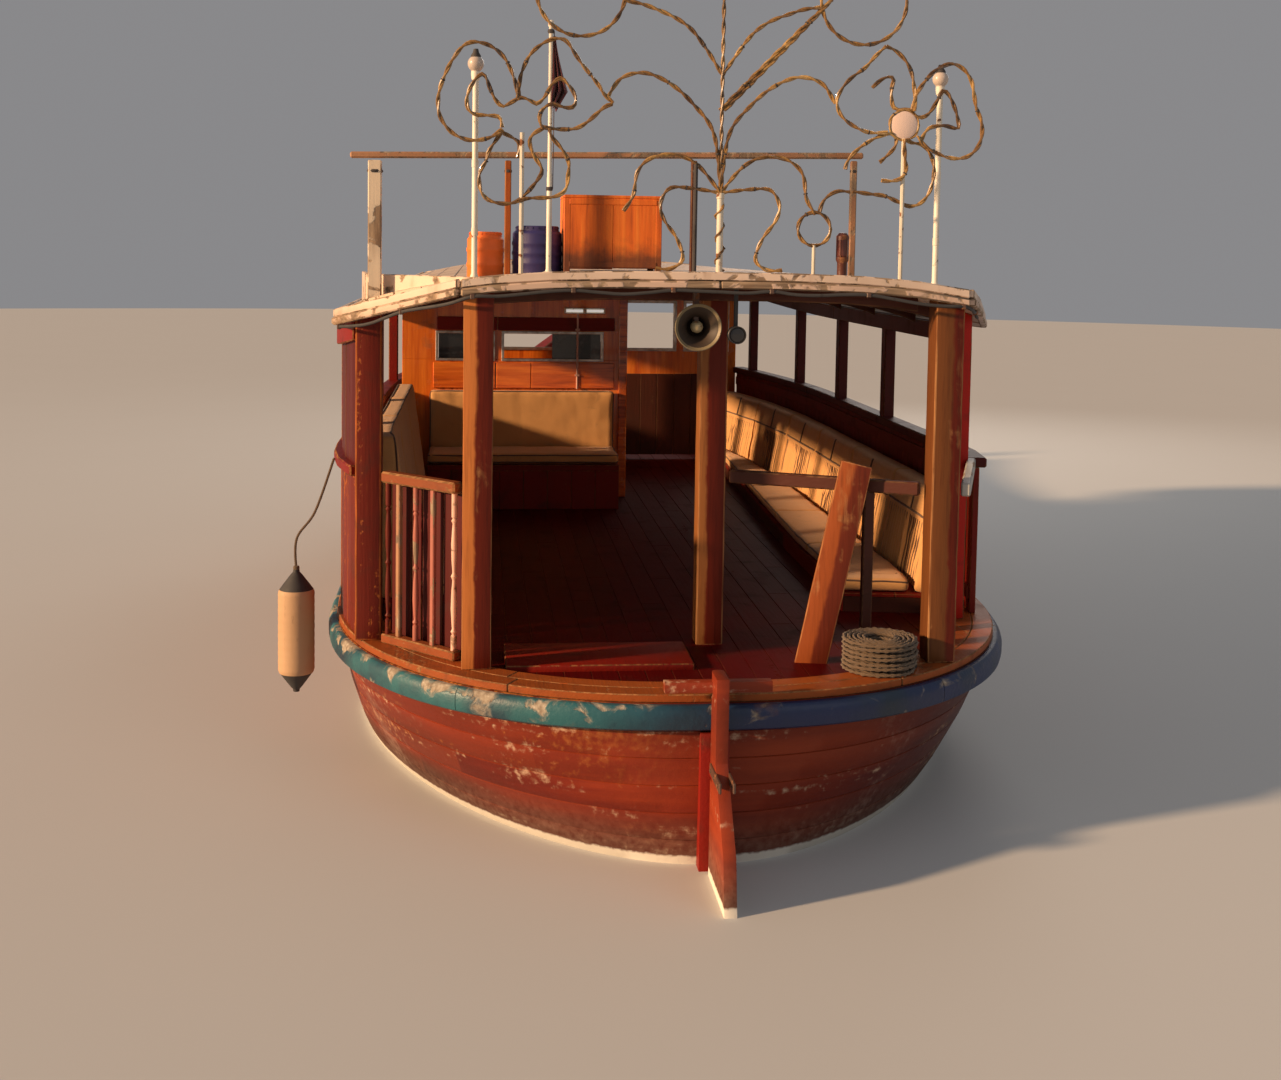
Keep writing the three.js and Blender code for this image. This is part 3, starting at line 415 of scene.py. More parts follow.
# Red worn through to orange wood, used on port-side pieces so they also carry painted sunlight
sunned_red = finish(worn_timber, "sunned_red", (0.125, 0.012, 0.005), (0.46, 0.13, 0.03), "Z", 0.72)
deck_paint = finish(worn_timber, "deck_paint", (0.075, 0.003, 0.003), (0.12, 0.022, 0.014), "Y", 0.45, 0.5,
    0.04)
old_iron = finish(painted_metal, "old_iron", (0.09, 0.05, 0.035), 0.8)
white_metal = finish(painted_metal, "white_metal", (0.74, 0.70, 0.60))
pink_paint = finish(cream_paint, "pink_paint", (0.72, 0.46, 0.36), "Z")
dull_pink = finish(cream_paint, "dull_pink", (0.42, 0.13, 0.09), "Z")
tan_paint = finish(cream_paint, "tan_paint", (0.40, 0.20, 0.10), "Z")
bench_cloth = finish(cloth, "bench_cloth", (0.70, 0.37, 0.135))
seam_cord = finish(cloth, "seam_cord", (0.13, 0.07, 0.045), 900.0, 0.2)
strap_cloth = finish(cloth, "strap_cloth", (0.06, 0.03, 0.02), 700.0, 0.3)
flag_cloth = finish(cloth, "flag_cloth", (0.13, 0.006, 0.016), 1500.0, 0.1)
rope_fibre = finish(cloth, "rope_fibre", (0.15, 0.095, 0.05), 1600.0, 0.4)
horn_paint = finish(painted_metal, "horn_paint", (0.20, 0.16, 0.09), 0.6, 0.5)
# Near-black inside of the horn's bell, as painted shade
horn_throat = finish(painted_metal, "horn_throat", (0.035, 0.022, 0.014), 0.5, 0.6)
tube_glass = finish(glass, "tube_glass", (0.85, 0.83, 0.78), 0.25, 0.55)
bare_pipe = finish(painted_metal, "bare_pipe", (0.62, 0.58, 0.48), 0.7)
tie_tape = finish(plastic, "tie_tape", (0.025, 0.02, 0.02), 0.6)
rubber = finish(plastic, "rubber", (0.018, 0.017, 0.018), 0.55)
fender_skin = finish(plastic, "fender_skin", (0.42, 0.26, 0.14), 0.5)
smoked_glass = finish(glass, "smoked_glass", (0.012, 0.013, 0.016), 0.07)
milk_glass = finish(glass, "milk_glass", (0.52, 0.44, 0.38), 0.25)
amber_glass = finish(glass, "amber_glass", (0.09, 0.014, 0.01), 0.15)
edge_paint = finish(cream_paint, "edge_paint", (0.74, 0.58, 0.46), "X")


# Meshes

def fresh():
    bm = bmesh.new()
    bm.faces.layers.float.new("worn")
    bm.faces.layers.float.new("tint")
    return bm


def mark(bm, faces, worn=None, tint=None):
    for name, value in (("worn", worn), ("tint", tint)):
        if value is not None:
            layer = bm.faces.layers.float[name]
            for face in faces:
                face[layer] = value


def link(name, data):
    made = bpy.data.objects.new(name, data)
    bpy.context.scene.collection.objects.link(made)
    return made


def settle(name, bm, paints, replaces, body="boat", limit=0.6):
    """Makes a piece of a bmesh, smooth over edges blunter than the limit, and sets it on its body."""
    for face in bm.faces:
        face.smooth = True
    for edge in bm.edges:
        edge.smooth = len(edge.link_faces) == 2 and edge.calc_face_angle(0.0) < limit
    mesh = bpy.data.meshes.new(name)
    bm.to_mesh(mesh)
    bm.free()
    for paint in paints if isinstance(paints, list) else [paints]:
        mesh.materials.append(paint)
    piece = link(name, mesh)
    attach(piece, body)
    if replaces:
        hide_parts(*([replaces] if isinstance(replaces, str) else replaces))
    return piece


def ease(bm, edges, size, segments=1):
    """Rounds edges, and marks the new faces as worn."""
    made = bmesh.ops.bevel(bm, geom=list(edges), offset=size, offset_type="OFFSET", segments=segments,
                           profile=0.5, affect="EDGES", material=-1, clamp_overlap=True)
    mark(bm, made["faces"], worn=1.0)


def soften(bm, size, segments=2):
    """Eases every sharp edge of a closed piece."""
    ease(bm, [e for e in bm.edges if len(e.link_faces) == 2 and e.calc_face_angle(0.0) > 0.5], size, segments)


def slice_at(bm, place, normal, **extra):
    """Cuts the faces of a piece along a plane, and gives back what lies on the cut."""
    geom = bm.verts[:] + bm.edges[:] + bm.faces[:]
    return bmesh.ops.bisect_plane(bm, geom=geom, plane_co=place, plane_no=normal, **extra)["geom_cut"]


def timber(bm, start, end, width, height, up=Z, soft=0.004, paint=0):
    """A sawn timber from start to end, with eased edges and its top near up."""
    start, end = Vector(start), Vector(end)
    made = bmesh.ops.create_cube(bm, size=1.0)["verts"]
    heading = (end - start).normalized()
    side = heading.cross(up).normalized()
    turn = Matrix((side, heading, side.cross(heading))).transposed().to_4x4()
    size = Matrix.Diagonal((width, (end - start).length, height, 1.0))
    bmesh.ops.transform(bm, matrix=Matrix.Translation((start + end) / 2) @ turn @ size, verts=made)
    faces = {face for vert in made for face in vert.link_faces}
    mark(bm, faces, tint=TINTS.random())
    for face in faces:
        face.material_index = paint
    if soft:
        ease(bm, {edge for vert in made for edge in vert.link_edges}, soft)


def upright(bm, x, y, low, high, width, depth=None, **extra):
    timber(bm, (x, y, low), (x, y, high), width, depth or width, up=Y, **extra)


def level_bar(bm, x0, x1, y, z, width, height, **extra):
    timber(bm, (x0, y, z), (x1, y, z), width, height, **extra)


def facing(place, heading):
    """A place whose local Z points along a heading."""
    return Matrix.Translation(place) @ Vector(heading).to_track_quat("Z", "Y").to_matrix().to_4x4()


def lain(place, axis="X", way=-1):
    """A place given a quarter turn about an axis."""
    return Matrix.Translation(place) @ Matrix.Rotation(way * pi / 2, 4, axis)


def circle(radius, count):
    """The (x, y) points of a circle at even steps."""
    return [(radius * cos(a), radius * sin(a)) for a in (tau * i / count for i in range(count))]


def solid(*rings):
    """A profile that is closed on its axis at both ends."""
    return [(0, rings[0][1]), *rings, (0, rings[-1][1])]


def hoop(radius, proud, inner, half):
    """The profile of a thin ring round a rod."""
    return ((radius, -half), (proud, 0), (radius, half), (inner, 0), (radius, -half))


def turned(bm, profile, place, sides=16, paint=0):
    """A turned form: a profile of (radius, height) spun about local Z, then placed."""
    verts = [bm.verts.new((radius, 0.0, height)) for radius, height in profile]
    edges = [bm.edges.new(pair) for pair in zip(verts, verts[1:])]
    made = bmesh.ops.spin(bm, geom=verts + edges, cent=(0, 0, 0), axis=(0, 0, 1), angle=tau,
                          steps=sides, use_merge=True, use_duplicate=False)
    found = set(verts) | {item for item in made["geom_last"] if isinstance(item, bmesh.types.BMVert)}
    grown = set()
    while found:
        vert = found.pop()
        grown.add(vert)
        found |= {edge.other_vert(vert) for edge in vert.link_edges} - grown
    bmesh.ops.remove_doubles(bm, verts=list(grown), dist=1e-5)
    whole = [vert for vert in grown if vert.is_valid]
    faces = {face for vert in whole for face in vert.link_faces}
    bmesh.ops.recalc_face_normals(bm, faces=list(faces))
    for face in faces:
        face.material_index = paint
    place = place if isinstance(place, Matrix) else Matrix.Translation(place)
    bmesh.ops.transform(bm, matrix=place, verts=whole)


def pipe(bm, points, radius, sides=8, closed=False, paint=0, smooth=6):
    """A round rod, rope or cable along points, smoothed as a curve."""
    data = bpy.data.curves.new("run", "CURVE")
    data.dimensions = "3D"
    data.bevel_depth = radius
    data.bevel_resolution = max(0, sides // 2 - 2)
    data.use_fill_caps = not closed
    data.resolution_u = smooth
    spline = data.splines.new("BEZIER" if smooth else "POLY")
    knots = spline.bezier_points if smooth else spline.points
    knots.add(len(points) - 1)
    for knot, point in zip(knots, points):
        if smooth:
            knot.co = point
            knot.handle_left_type = knot.handle_right_type = "AUTO"
        else:
            knot.co = (*point, 1.0)
    spline.use_cyclic_u = closed
    holder = link("run", data)
    bpy.context.view_layer.update()
    mesh = bpy.data.meshes.new_from_object(holder.evaluated_get(bpy.context.evaluated_depsgraph_get()))
    before = set(bm.faces)
    bm.from_mesh(mesh)
    new = [face for face in bm.faces if face not in before]
    for face in new:
        face.material_index = paint
    bmesh.ops.remove_doubles(bm, verts=list({v for f in new for v in f.verts}), dist=1e-5)
    bpy.data.objects.remove(holder)
    bpy.data.meshes.remove(mesh)
    bpy.data.curves.remove(data)


def cad_copy(node):
    """The merged mesh of a CAD node, with flat runs of triangles joined."""
    bm = fresh()
    bm.from_mesh(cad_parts[node].data)
    bmesh.ops.remove_doubles(bm, verts=bm.verts, dist=1e-4)
    bmesh.ops.dissolve_limit(bm, angle_limit=0.01, verts=bm.verts, edges=bm.edges)
    mark(bm, bm.faces, worn=0.0, tint=TINTS.random())
    return bm


def wander(bm, amount, pace=0.11):
    """Cuts a piece across its length and lets its surface stray a little, as worn wood does."""
    ends = [(min(v.co[i] for v in bm.verts), max(v.co[i] for v in bm.verts)) for i in range(3)]
    low, high, normal = max(((*pair, n) for pair, n in zip(ends, (X, Y, Z))), key=lambda row: row[1] - row[0])
    count = int((high - low) / pace)
    for i in range(1, count):
        slice_at(bm, normal * (low + (high - low) * i / count), normal)
    for vert in bm.verts:
        stray = [noise.noise(vert.co * 6.0 + axis * 9.0) for axis in (X, Y, Z)]
        vert.co += Vector(stray) * amount


def dress(node, paint, soft, segments=2, rough=0.0):
    """A CAD node with its sharp edges eased and worn."""
    bm = cad_copy(node)
    soften(bm, soft, segments)
    if rough:
        wander(bm, rough)
    settle("dressed_" + node, bm, paint, node)


def bolt(bm, place, normal, radius, paint):
    """A domed bolt head on a face."""
    profile = ((0, -0.3), (1.0, -0.3), (0.92, 0.25), (0.5, 0.5), (0, 0.6))
    turned(bm, [(radius * r, radius * z) for r, z in profile], facing(place, normal), 8, paint)


def wind(bm, line, thick, reach, pitch, paints, phase=0.0, closed=False):
    """Strands wound round a line of points."""
    count = len(line)
    whole = sum((b - a).length for a, b in zip(line, line[1:]))
    turns = max(1, round(whole / pitch))
    for strand, paint in enumerate(paints):
        side, gone, wound = None, 0.0, []
        for i, point in enumerate(line):
            ahead = line[(i + 1) % count] if closed or i + 1 < count else point
            behind = line[i - 1] if closed or i else point
            heading = (ahead - behind).normalized()
            side = side or heading.orthogonal()
            side = (side - heading * side.dot(heading)).normalized()
            angle = phase + tau * (strand / len(paints) + gone / whole * turns)
            wound.append(point + (side * cos(angle) + heading.cross(side) * sin(angle)) * reach)
            gone += (ahead - point).length
        pipe(bm, wound, thick, 6, closed=closed, paint=paint, smooth=0)


# Runs and sweeps

def bracket(values, value):
    """The place in rising values of the first that reaches a value, from the second on."""
    return max(1, next((k for k, each in enumerate(values) if each >= value), len(values) - 1))


class Run:
    """A line through points, measured along its length."""

    def __init__(self, points):
        self.points = [Vector(point) for point in points]
        self.marks = [0.0]
        for before, after in zip(self.points, self.points[1:]):
            self.marks.append(self.marks[-1] + (after - before).length)
        self.length = self.marks[-1]

    def at(self, along):
        """The point and the heading at a length along the line."""
        i = bracket(self.marks, along)
        before, after = self.points[i - 1], self.points[i]
        heading = (after - before).normalized()
        return before + heading * (along - self.marks[i - 1]), heading

    def part(self, start, end):
        inner = [point for mark, point in zip(self.marks, self.points) if start + 0.02 < mark < end - 0.02]
        return [self.at(start)[0], *inner, self.at(end)[0]]


def frames(points):
    """Frames along a line, with local X level to its right, kept to width round the bends."""
    made = []
    for i, point in enumerate(points):
        inward = ((point - points[i - 1]) if i else (points[1] - point)).normalized()
        outward = (points[i + 1] - point).normalized() if i + 1 < len(points) else inward
        heading = (inward + outward).normalized()
        right = heading.cross(Z).normalized()
        square = max(0.4, inward.xy.normalized().dot(heading.xy.normalized()))
        turn = Matrix((right / square, heading, Z)).transposed().to_4x4()
        made.append(Matrix.Translation(point) @ turn)
    return made


def sweep(bm, places, section, soft=0.0, paint=0):
    """Draws a section of (right, up) corners through the frames by extrusion."""
    first = face = bm.faces.new([bm.verts.new(places[0] @ Vector((x, 0.0, z))) for x, z in section])
    verts = list(face.verts)
    for before, after in zip(places, places[1:]):
        grown = bmesh.ops.extrude_face_region(bm, geom=[face])["geom"]
        if face is not first:
            bmesh.ops.delete(bm, geom=[face], context="FACES_ONLY")
        face = next(item for item in grown if isinstance(item, bmesh.types.BMFace))
        new = [item for item in grown if isinstance(item, bmesh.types.BMVert)]
        bmesh.ops.transform(bm, matrix=after @ before.inverted(), verts=new)
        verts += new
    faces = list({face for vert in verts for face in vert.link_faces})
    bmesh.ops.recalc_face_normals(bm, faces=faces)
    for face in faces:
        face.material_index = paint
    mark(bm, faces, tint=TINTS.random())
    if soft:
        ease_bends(bm, faces, soft)
    return faces


def ease_bends(bm, faces, soft):
    edges = {edge for face in faces for edge in face.edges}
    ease(bm, [edge for edge in edges if edge.calc_face_angle(0.0) > 0.6], soft)


def plank_run(bm, run, section, length, gap=0.003, **extra):
    """Planks of one section, end to end along a run."""
    count = max(1, round(run.length / length))
    cuts = [run.length * i / count for i in range(count + 1)]
    for start, end in zip(cuts, cuts[1:]):
        sweep(bm, frames(run.part(start + gap / 2, end - gap / 2)), section, **extra)


def rect(x0, x1, z0, z1):
    return [(x0, z0), (x1, z0), (x1, z1), (x0, z1)]


def board_wall(bm, run, width, thick, low, high, soft=0.003, gap=0.002, **extra):
    """Upright boards side by side along a run. High may be a level or a function of the place."""
    count = max(1, round(run.length / width))
    width = run.length / count
    for i in range(count):
        point, heading = run.at((i + 0.5) * width)
        start, end = (Vector((point.x, point.y, z)) for z in (low, high(point) if callable(high) else high))
        timber(bm, start, end, width - gap, thick, up=heading.cross(Z), soft=soft, **extra)


# Stage

def length_size(label, about, default):
    return bpy.props.FloatProperty(name=label, description=about, default=default, unit="LENGTH")


def angle_size(label, about, degrees):
    return bpy.props.FloatProperty(name=label, description=about, default=radians(degrees),
                                   subtype="ANGLE")


class DhowStage(bpy.types.PropertyGroup):
    eye: bpy.props.FloatVectorProperty(name="Eye", description="Where the camera stands",
                                       default=(-1.163, -13.412, 2.999), unit="LENGTH")
    yaw: angle_size("Yaw", "How far the view turns to starboard", 6.247)
    pitch: angle_size("Pitch", "How far the view looks down", 3.976)
    roll: angle_size("Roll", "How far the camera leans", 0.897)
    lens: bpy.props.FloatProperty(name="Lens", description="Focal length on a 36 mm wide sensor",
                                  default=42.36, unit="CAMERA")
    rise: bpy.props.FloatProperty(name="Rise", description="Vertical shift of the lens, in sensor widths",
                                  default=-0.1442)
    floor: bpy.props.FloatVectorProperty(name="Floor", description="Colour of the floor",
                                         default=(0.56, 0.57, 0.57), subtype="COLOR")


# Each light's place, target, size (0 for the sun), power and colour
LIGHTS = {
    "key": ((-17, -8.5, 6.2), (0, -3.5, 1.2), 0.0, 6.4, (1.0, 0.64, 0.36)),
    "fill": ((7, -15, 8), (0, -3, 1.2), 8.0, 130.0, (1.0, 0.93, 0.88)),
    "worn_sunlit_rim": ((6, 12, 9), (0, 0, 1.5), 8.0, 420.0, (1.0, 0.90, 0.80)),
}


def camera(sizes):
    made = link("camera", bpy.data.cameras.new("camera"))
    made.data.sensor_fit = "HORIZONTAL"
    made.data.lens = sizes.lens
    made.data.shift_y = sizes.rise
    made.data.clip_end = 200.0
    turn = (Matrix.Rotation(-sizes.yaw, 4, "Z") @ Matrix.Rotation(pi / 2 - sizes.pitch, 4, "X")
            @ Matrix.Rotation(sizes.roll, 4, "Z"))
    made.matrix_world = Matrix.Translation(sizes.eye) @ turn
    bpy.context.scene.camera = made


def water_floor(color):
    bm = bmesh.new()
    bmesh.ops.create_circle(bm, cap_ends=True, segments=96, radius=60.0)
    mesh = bpy.data.meshes.new("floor")
    bm.to_mesh(mesh)
    bm.free()
    p = Paint("floor")
    mesh.materials.append(p.finish(p.mix(p.noise(0.6, 3) * 0.12, tuple(color), toned(color, 0.8)), 0.75))
    link("floor", mesh)


def lights():
    world = bpy.data.worlds.new("studio")
    world.use_nodes = True
    sky = world.node_tree.nodes["Background"].inputs
    sky["Color"].default_value = (0.93, 0.92, 0.95, 1.0)
    sky["Strength"].default_value = 0.27
    bpy.context.scene.world = world
    for name, (place, target, size, power, color) in LIGHTS.items():
        data = bpy.data.lights.new(name, "AREA" if size else "SUN")
        data.energy, data.color = power, color
        if size:
            data.shape, data.size = "DISK", size
        else:
            data.angle = radians(3.0)
        lamp = link(name, data)
        lamp.location = place
        lamp.rotation_euler = (Vector(target) - Vector(place)).to_track_quat("-Z", "Y").to_euler()


class DHOW_OT_stage(bpy.types.Operator):
    """Sets the camera, the floor at the waterline and soft light"""
    bl_idname = "dhow.stage"
    bl_label = "Stage"

    def execute(self, context):
        sizes = context.scene.dhow_stage
        camera(sizes)
        context.scene.view_settings.view_transform = "Standard"
        water_floor(sizes.floor)
        lights()
        return {"FINISHED"}


# Rope

class DhowRope(bpy.types.PropertyGroup):
    thick: length_size("Rope", "Diameter of the mooring rope", 0.024)
    columns: bpy.props.IntProperty(name="Columns", description="Turns side by side in the coil", default=5)
    rows: bpy.props.IntProperty(name="Rows", description="Turns above each other in the coil", default=7)


COIL_AT, COIL_FOOT, COIL_INNER = (0.925, -5.925), 0.8606, 0.0715
COIL_STEPS, COIL_GAP, COIL_SINK, COIL_STRAY = 30, 0.0018, 0.0004, 0.004


def coil_line(thick, columns, rows):
    """The rope's middle line, a column outward and a row upward at a time."""
    line = []
    for i in range(columns * rows * COIL_STEPS + 1):
        turn = i / COIL_STEPS
        row = min(int(turn / columns), rows - 1)
        gone = turn - row * columns
        column = min(columns - 1.0, max(0, gone - 0.5))
        column = columns - 1 - column if row % 2 == 0 else column
        climb = max(0, min(1.0, gone - columns + 0.5)) if row < rows - 1 else 0.0
        across, ahead = cos(tau * turn), sin(tau * turn)
        stray = Vector((across * 1.3, ahead * 1.3, row * 0.5))
        radius = COIL_INNER + thick / 2 + column * (thick + COIL_GAP) + COIL_STRAY * noise.noise(stray)
        height = COIL_FOOT + thick / 2 + (row + climb) * (thick + COIL_SINK)
        height += 0.0015 * (1 + noise.noise(stray * 1.7)) * min(1, row)
        line.append(Vector((COIL_AT[0] + radius * across, COIL_AT[1] + radius * ahead, height)))
    return line


class DHOW_OT_rope(bpy.types.Operator):
    """Coils the mooring rope on the aft landing"""
    bl_idname = "dhow.rope"
    bl_label = "Mooring rope"

    def execute(self, context):
        sizes = context.scene.dhow_rope
        thick = sizes.thick
        line = coil_line(thick, sizes.columns, sizes.rows)
        bm = fresh()
        wind(bm, line, thick * 0.255, thick * 0.255, thick * 3.2, (0, 0, 0))
        tape = ((0, -0.012), (thick * 0.5, -0.012), (thick * 0.52, 0), (thick * 0.5, 0.01), (0, 0.012))
        for end, heading in ((line[0], line[1] - line[0]), (line[-1], line[-1] - line[-2])):
            turned(bm, tape, facing(end, heading), 12, 1)
        piece = settle("mooring_rope", bm, [rope_fibre(), tie_tape()], "rope_coil", limit=1.2)
        Run(line).length
        return {"FINISHED"}


# Hull form: height, aft end, half-beam, bow end, stern length, stern roundness, bow fullness
LEVELS = (
    (-0.85, -5.56, 0.07, 4.6, 1.2, 2.0, 1.5),
    (-0.7, -5.58, 0.62, 4.9, 3.3, 1.25, 1.45),
    (-0.45, -5.61, 1.26, 5.25, 3.1, 1.35, 1.5),
    (-0.23, -6.13, 1.64, 5.5, 2.95, 1.5, 1.6),
    (0, -6.29, 1.867, 5.75, 2.78, 1.7, 1.75),
    (0.4, -6.315, 1.935, 6.1, 2.5, 1.95, 1.9),
    (0.82, -6.33, 1.985, 6.45, 2.25, 2.2, 2.1),
)
STRIP, DECK, FLOOR, SILL, MIDSHIP = 0.07, 0.82, 0.86, 1.8, -0.9
SIDES = {"port": -1, "starboard": 1}
COVERING_BOARD = 0.236
GAP, HAIR = 0.003, 0.0003


def rise(y):
    return 0.7 * max(0, (y - 2.4) / 4.05) ** 2


def level(height):
    """The row of the hull form at a height."""
    i = bracket([row[0] for row in LEVELS], height - 1e-6)
    share = (height - LEVELS[i - 1][0]) / (LEVELS[i][0] - LEVELS[i - 1][0])
    return [a + (b - a) * share for a, b in zip(LEVELS[i - 1], LEVELS[i])]


def half_outline(row, inset=0.0, stern=36, middle=6, bow=22):
    """One side of the hull at a level, from the sternpost to the stem."""
    _, aft, beam, end, length, roundness, fullness = row
    beam, aft, end = beam - inset, aft + inset, end - inset
    points = []
    for i in range(stern + 1):
        turn = i / stern * pi / 2
        back = max(0, cos(turn)) ** (2 / roundness)
        across = sin(turn) ** (2 / roundness)
        points.append((STRIP + (beam - STRIP) * across, aft + length * (1 - back)))
    shoulder = aft + length
    points += [(beam, shoulder + (MIDSHIP - shoulder) * i / middle) for i in range(1, middle)]
    points += [(STRIP + (beam - STRIP) * (1 - (i / bow) ** fullness), MIDSHIP + (end - MIDSHIP) * i / bow)
               for i in range(bow + 1)]
    return points


DECK_KNOTS = half_outline(LEVELS[-1], 0.0, 12, 4, 12)
DECK_LINE = half_outline(LEVELS[-1])


def mirrored(half):
    """A starboard line joined to its mirror image, which runs back."""
    return half + [(-x, y) for x, y in reversed(half)]


def deck_half(y):
    i = bracket([knot[1] for knot in DECK_KNOTS], y)
    (xa, ya), (xb, yb) = DECK_KNOTS[i - 1:i + 1]
    return xa + (xb - xa) * (y - ya) / (yb - ya)


def deck_reach(x, way):
    """Where the deck's planking ends towards the bow (1) or the stern (-1), at a place across."""
    near, far = -1.0, 6.3 * way
    for _ in range(20):
        middle = (near + far) / 2
        near, far = (middle, far) if deck_half(middle) - COVERING_BOARD > x else (near, middle)
    return near


def wall_run(name, start, end, inset, height=0.0):
    """A line along one side, with outboard on its right. Height may depend on the place across."""
    side = SIDES[name]
    points = []
    for y in (start, *(y for _, y in DECK_KNOTS if start + 0.06 < y < end - 0.06), end):
        x = side * (deck_half(y) - inset)
        points.append((x, y, height(abs(x)) if callable(height) else height))
    return Run(points if side > 0 else points[::-1])


# Hull

class DhowHull(bpy.types.PropertyGroup):
    plank: length_size("Plank", "Width of a hull plank", 0.139)
    seam: length_size("Seam", "Depth of a seam between hull planks", 0.006)
    deck_plank: length_size("Deck plank", "Width of a deck plank", 0.14)


def hull_ring(bm, height, inset):
    share = max(0, height) / DECK
    loop = mirrored(half_outline(level(height), inset))
    verts = [bm.verts.new((x, y, height + share * rise(y))) for x, y in loop]
    return [bm.edges.new(pair) for pair in zip(verts, verts[1:] + verts[:1])]


def hull_skin(sizes):
    """Planks laid edge to edge, with a sunk seam under each."""
    bm = fresh()
    low, high, half = LEVELS[0][0], LEVELS[-1][0], 0.004
    count = round((high - low) / sizes.plank)
    rows = [(low, 0.0)]
    for i in range(1, count):
        seam = low + (high - low) * i / count
        rows += [(seam - half, 0), (seam, sizes.seam), (seam + half, 0.0)]
    rings = [hull_ring(bm, *row) for row in (*rows, (high, 0))]
    for row, (before, after) in enumerate(zip(rings, rings[1:]), 1):
        for face in bmesh.ops.bridge_loops(bm, edges=before + after)["faces"]:
            plank = int((face.calc_center_median().y + 0.9 * row + 20) / 2.3)
            mark(bm, [face], 0.0 if row % 3 == 1 else 1.0, random.Random(f"{row // 3} {plank}").random())
    for ring in (rings[0], rings[-1]):
        half = len(ring) // 2
        bmesh.ops.bridge_loops(bm, edges=ring[:half - 1] + ring[half:-1])
    bmesh.ops.holes_fill(bm, edges=bm.edges, sides=4)
    bmesh.ops.recalc_face_normals(bm, faces=bm.faces)
    settle("hull_skin", bm, hull_paint(), "hull", limit=0.9)


def deck_planks(wide, board=2.5):
    """Deck planks in lanes, with their outer ends cut along the covering board."""
    bm = fresh()
    lanes = int(2 * LEVELS[-1][2] / wide)
    section = rect(-(wide - GAP) / 2, (wide - GAP) / 2, 0.0004, 0.0064)
    ends = {}
    for lane in range(lanes):
        x = (lane - lanes / 2 + 0.5) * wide
        start, end = (deck_reach(abs(x) + wide / 2, way) for way in (-1, 1))
        if end - start < 0.6:
            continue
        ends[lane] = ((start, -1), (end, 1))
        cuts = [start, min(end, start + 0.7 * (lane % 3) - 1.2 + board)]
        while cuts[-1] < end:
            cuts.append(min(end, cuts[-1] + board))
        for a, b in zip(cuts, cuts[1:]):
            if b - a < 0.1:
                continue
            steps = max(1, round((b - a) / 0.5)) if b > 2.4 else 1
            ys = [a + (b - a - GAP) * i / steps for i in range(steps + 1)]
            sweep(bm, frames([Vector((x, y, DECK + rise(y))) for y in ys]), section, soft=0.0015)
    for vert in bm.verts:
        for end, way in ends[int(vert.co.x / wide + lanes / 2)]:
            if abs(vert.co.y - end) < 0.006:
                y = vert.co.y + deck_reach(abs(vert.co.x), way) - end
                vert.co += Vector((0, y - vert.co.y, rise(y) - rise(vert.co.y)))
                break
    settle("deck_planks", bm, deck_paint(), ())


def edge_timbers():
    """Rubbing strake and covering board, from the port bow round the stern to the starboard bow."""
    run = Run([(x, y, DECK + rise(y)) for x, y in reversed(mirrored(DECK_LINE[::-1]))])
    bm = fresh()
    section = [(HAIR, -0.13), (0.026, -0.13), (0.045, -0.118), (0.05, -0.095), (0.05, -0.05),
               (0.044, -0.028), (0.03, -0.008), (0.024, -0.005), (HAIR, -0.005)]
    plank_run(bm, run, section, 2.6, 0.0015)
    settle("strake", bm, strake_paint(), ("rubbing_strake_port", "rubbing_strake_starboard"),
           limit=0.5)
    bm = fresh()
    plank_run(bm, run, rect(-0.23, -0.123, HAIR, 0.0403), 2.2, soft=0.004)
    for start, end in ((0.9, run.length - 0.9), (0, 0.898), (run.length - 0.898, run.length)):
        plank_run(bm, Run(run.part(start, end)), rect(-0.12, -0.004, HAIR, 0.0403), 2.0, soft=0.005)
    settle("edge_planks", bm, orange("Y", 0.5), ("covering_board_port", "covering_board_starboard"))


def bow_bulwark():
    bm = fresh()
    line = mirrored([(deck_half(y) - 0.09, y) for y in [2.24] + [y for _, y in DECK_LINE if 2.3 < y < 6.3]])
    run = Run([(x, y, DECK + rise(y)) for x, y in line])
    for low, high, offset in ((0.041, 0.185, 0), (0.187, 0.325, -0.002), (0.327, 0.447, 0)):
        plank_run(bm, run, rect(-0.05 + offset, offset, low, high), 2.4, soft=0.004)
    plank_run(bm, run, rect(-0.1, 0.045, 0.449, 0.493), 2.8, soft=0.01)
    for i in (*range(1, 7), *range(10, 16)):
        place, heading = run.at(run.length * i / 16)
        inner = place - heading.cross(Z).normalized() * 0.075
        timber(bm, inner + Z * 0.042, inner + Z * 0.448, 0.07, 0.05, up=heading.cross(Z), soft=0.006)
    settle("bulwark", bm, red("Y"), "bow_bulwark")


def rudder_blade():
    bm = cad_copy("rudder")
    for y in (-6.55, -6.68, -6.81):
        slice_at(bm, (0, y, 0), Y)
    soften(bm, 0.006)
    for height in (-0.64, -0.06, 0.54):
        for side in (-1, 1):
            x = side * 0.033
            timber(bm, (x, -6.45, height), (x, -6.74, height), 0.012, 0.05, soft=0.003, paint=1)
            for y in (-6.49, -6.59, -6.69):
                bolt(bm, (side * 0.039, y, height), (side, 0, 0), 0.012, 1)
    settle("rudder_blade", bm, [hull_paint(), old_iron()], "rudder", "rudder")


class DHOW_OT_hull(bpy.types.Operator):
    """Planks the hull and the deck, and finishes the backbone and the edge timbers"""
    bl_idname = "dhow.hull"
    bl_label = "Hull"

    def execute(self, context):
        sizes = context.scene.dhow_hull
        hull_skin(sizes)
        deck_planks(sizes.deck_plank)
        edge_timbers()
        bow_bulwark()
        dress("backbone", red("Y"), 0.008)
        rudder_blade()
        return {"FINISHED"}


# House

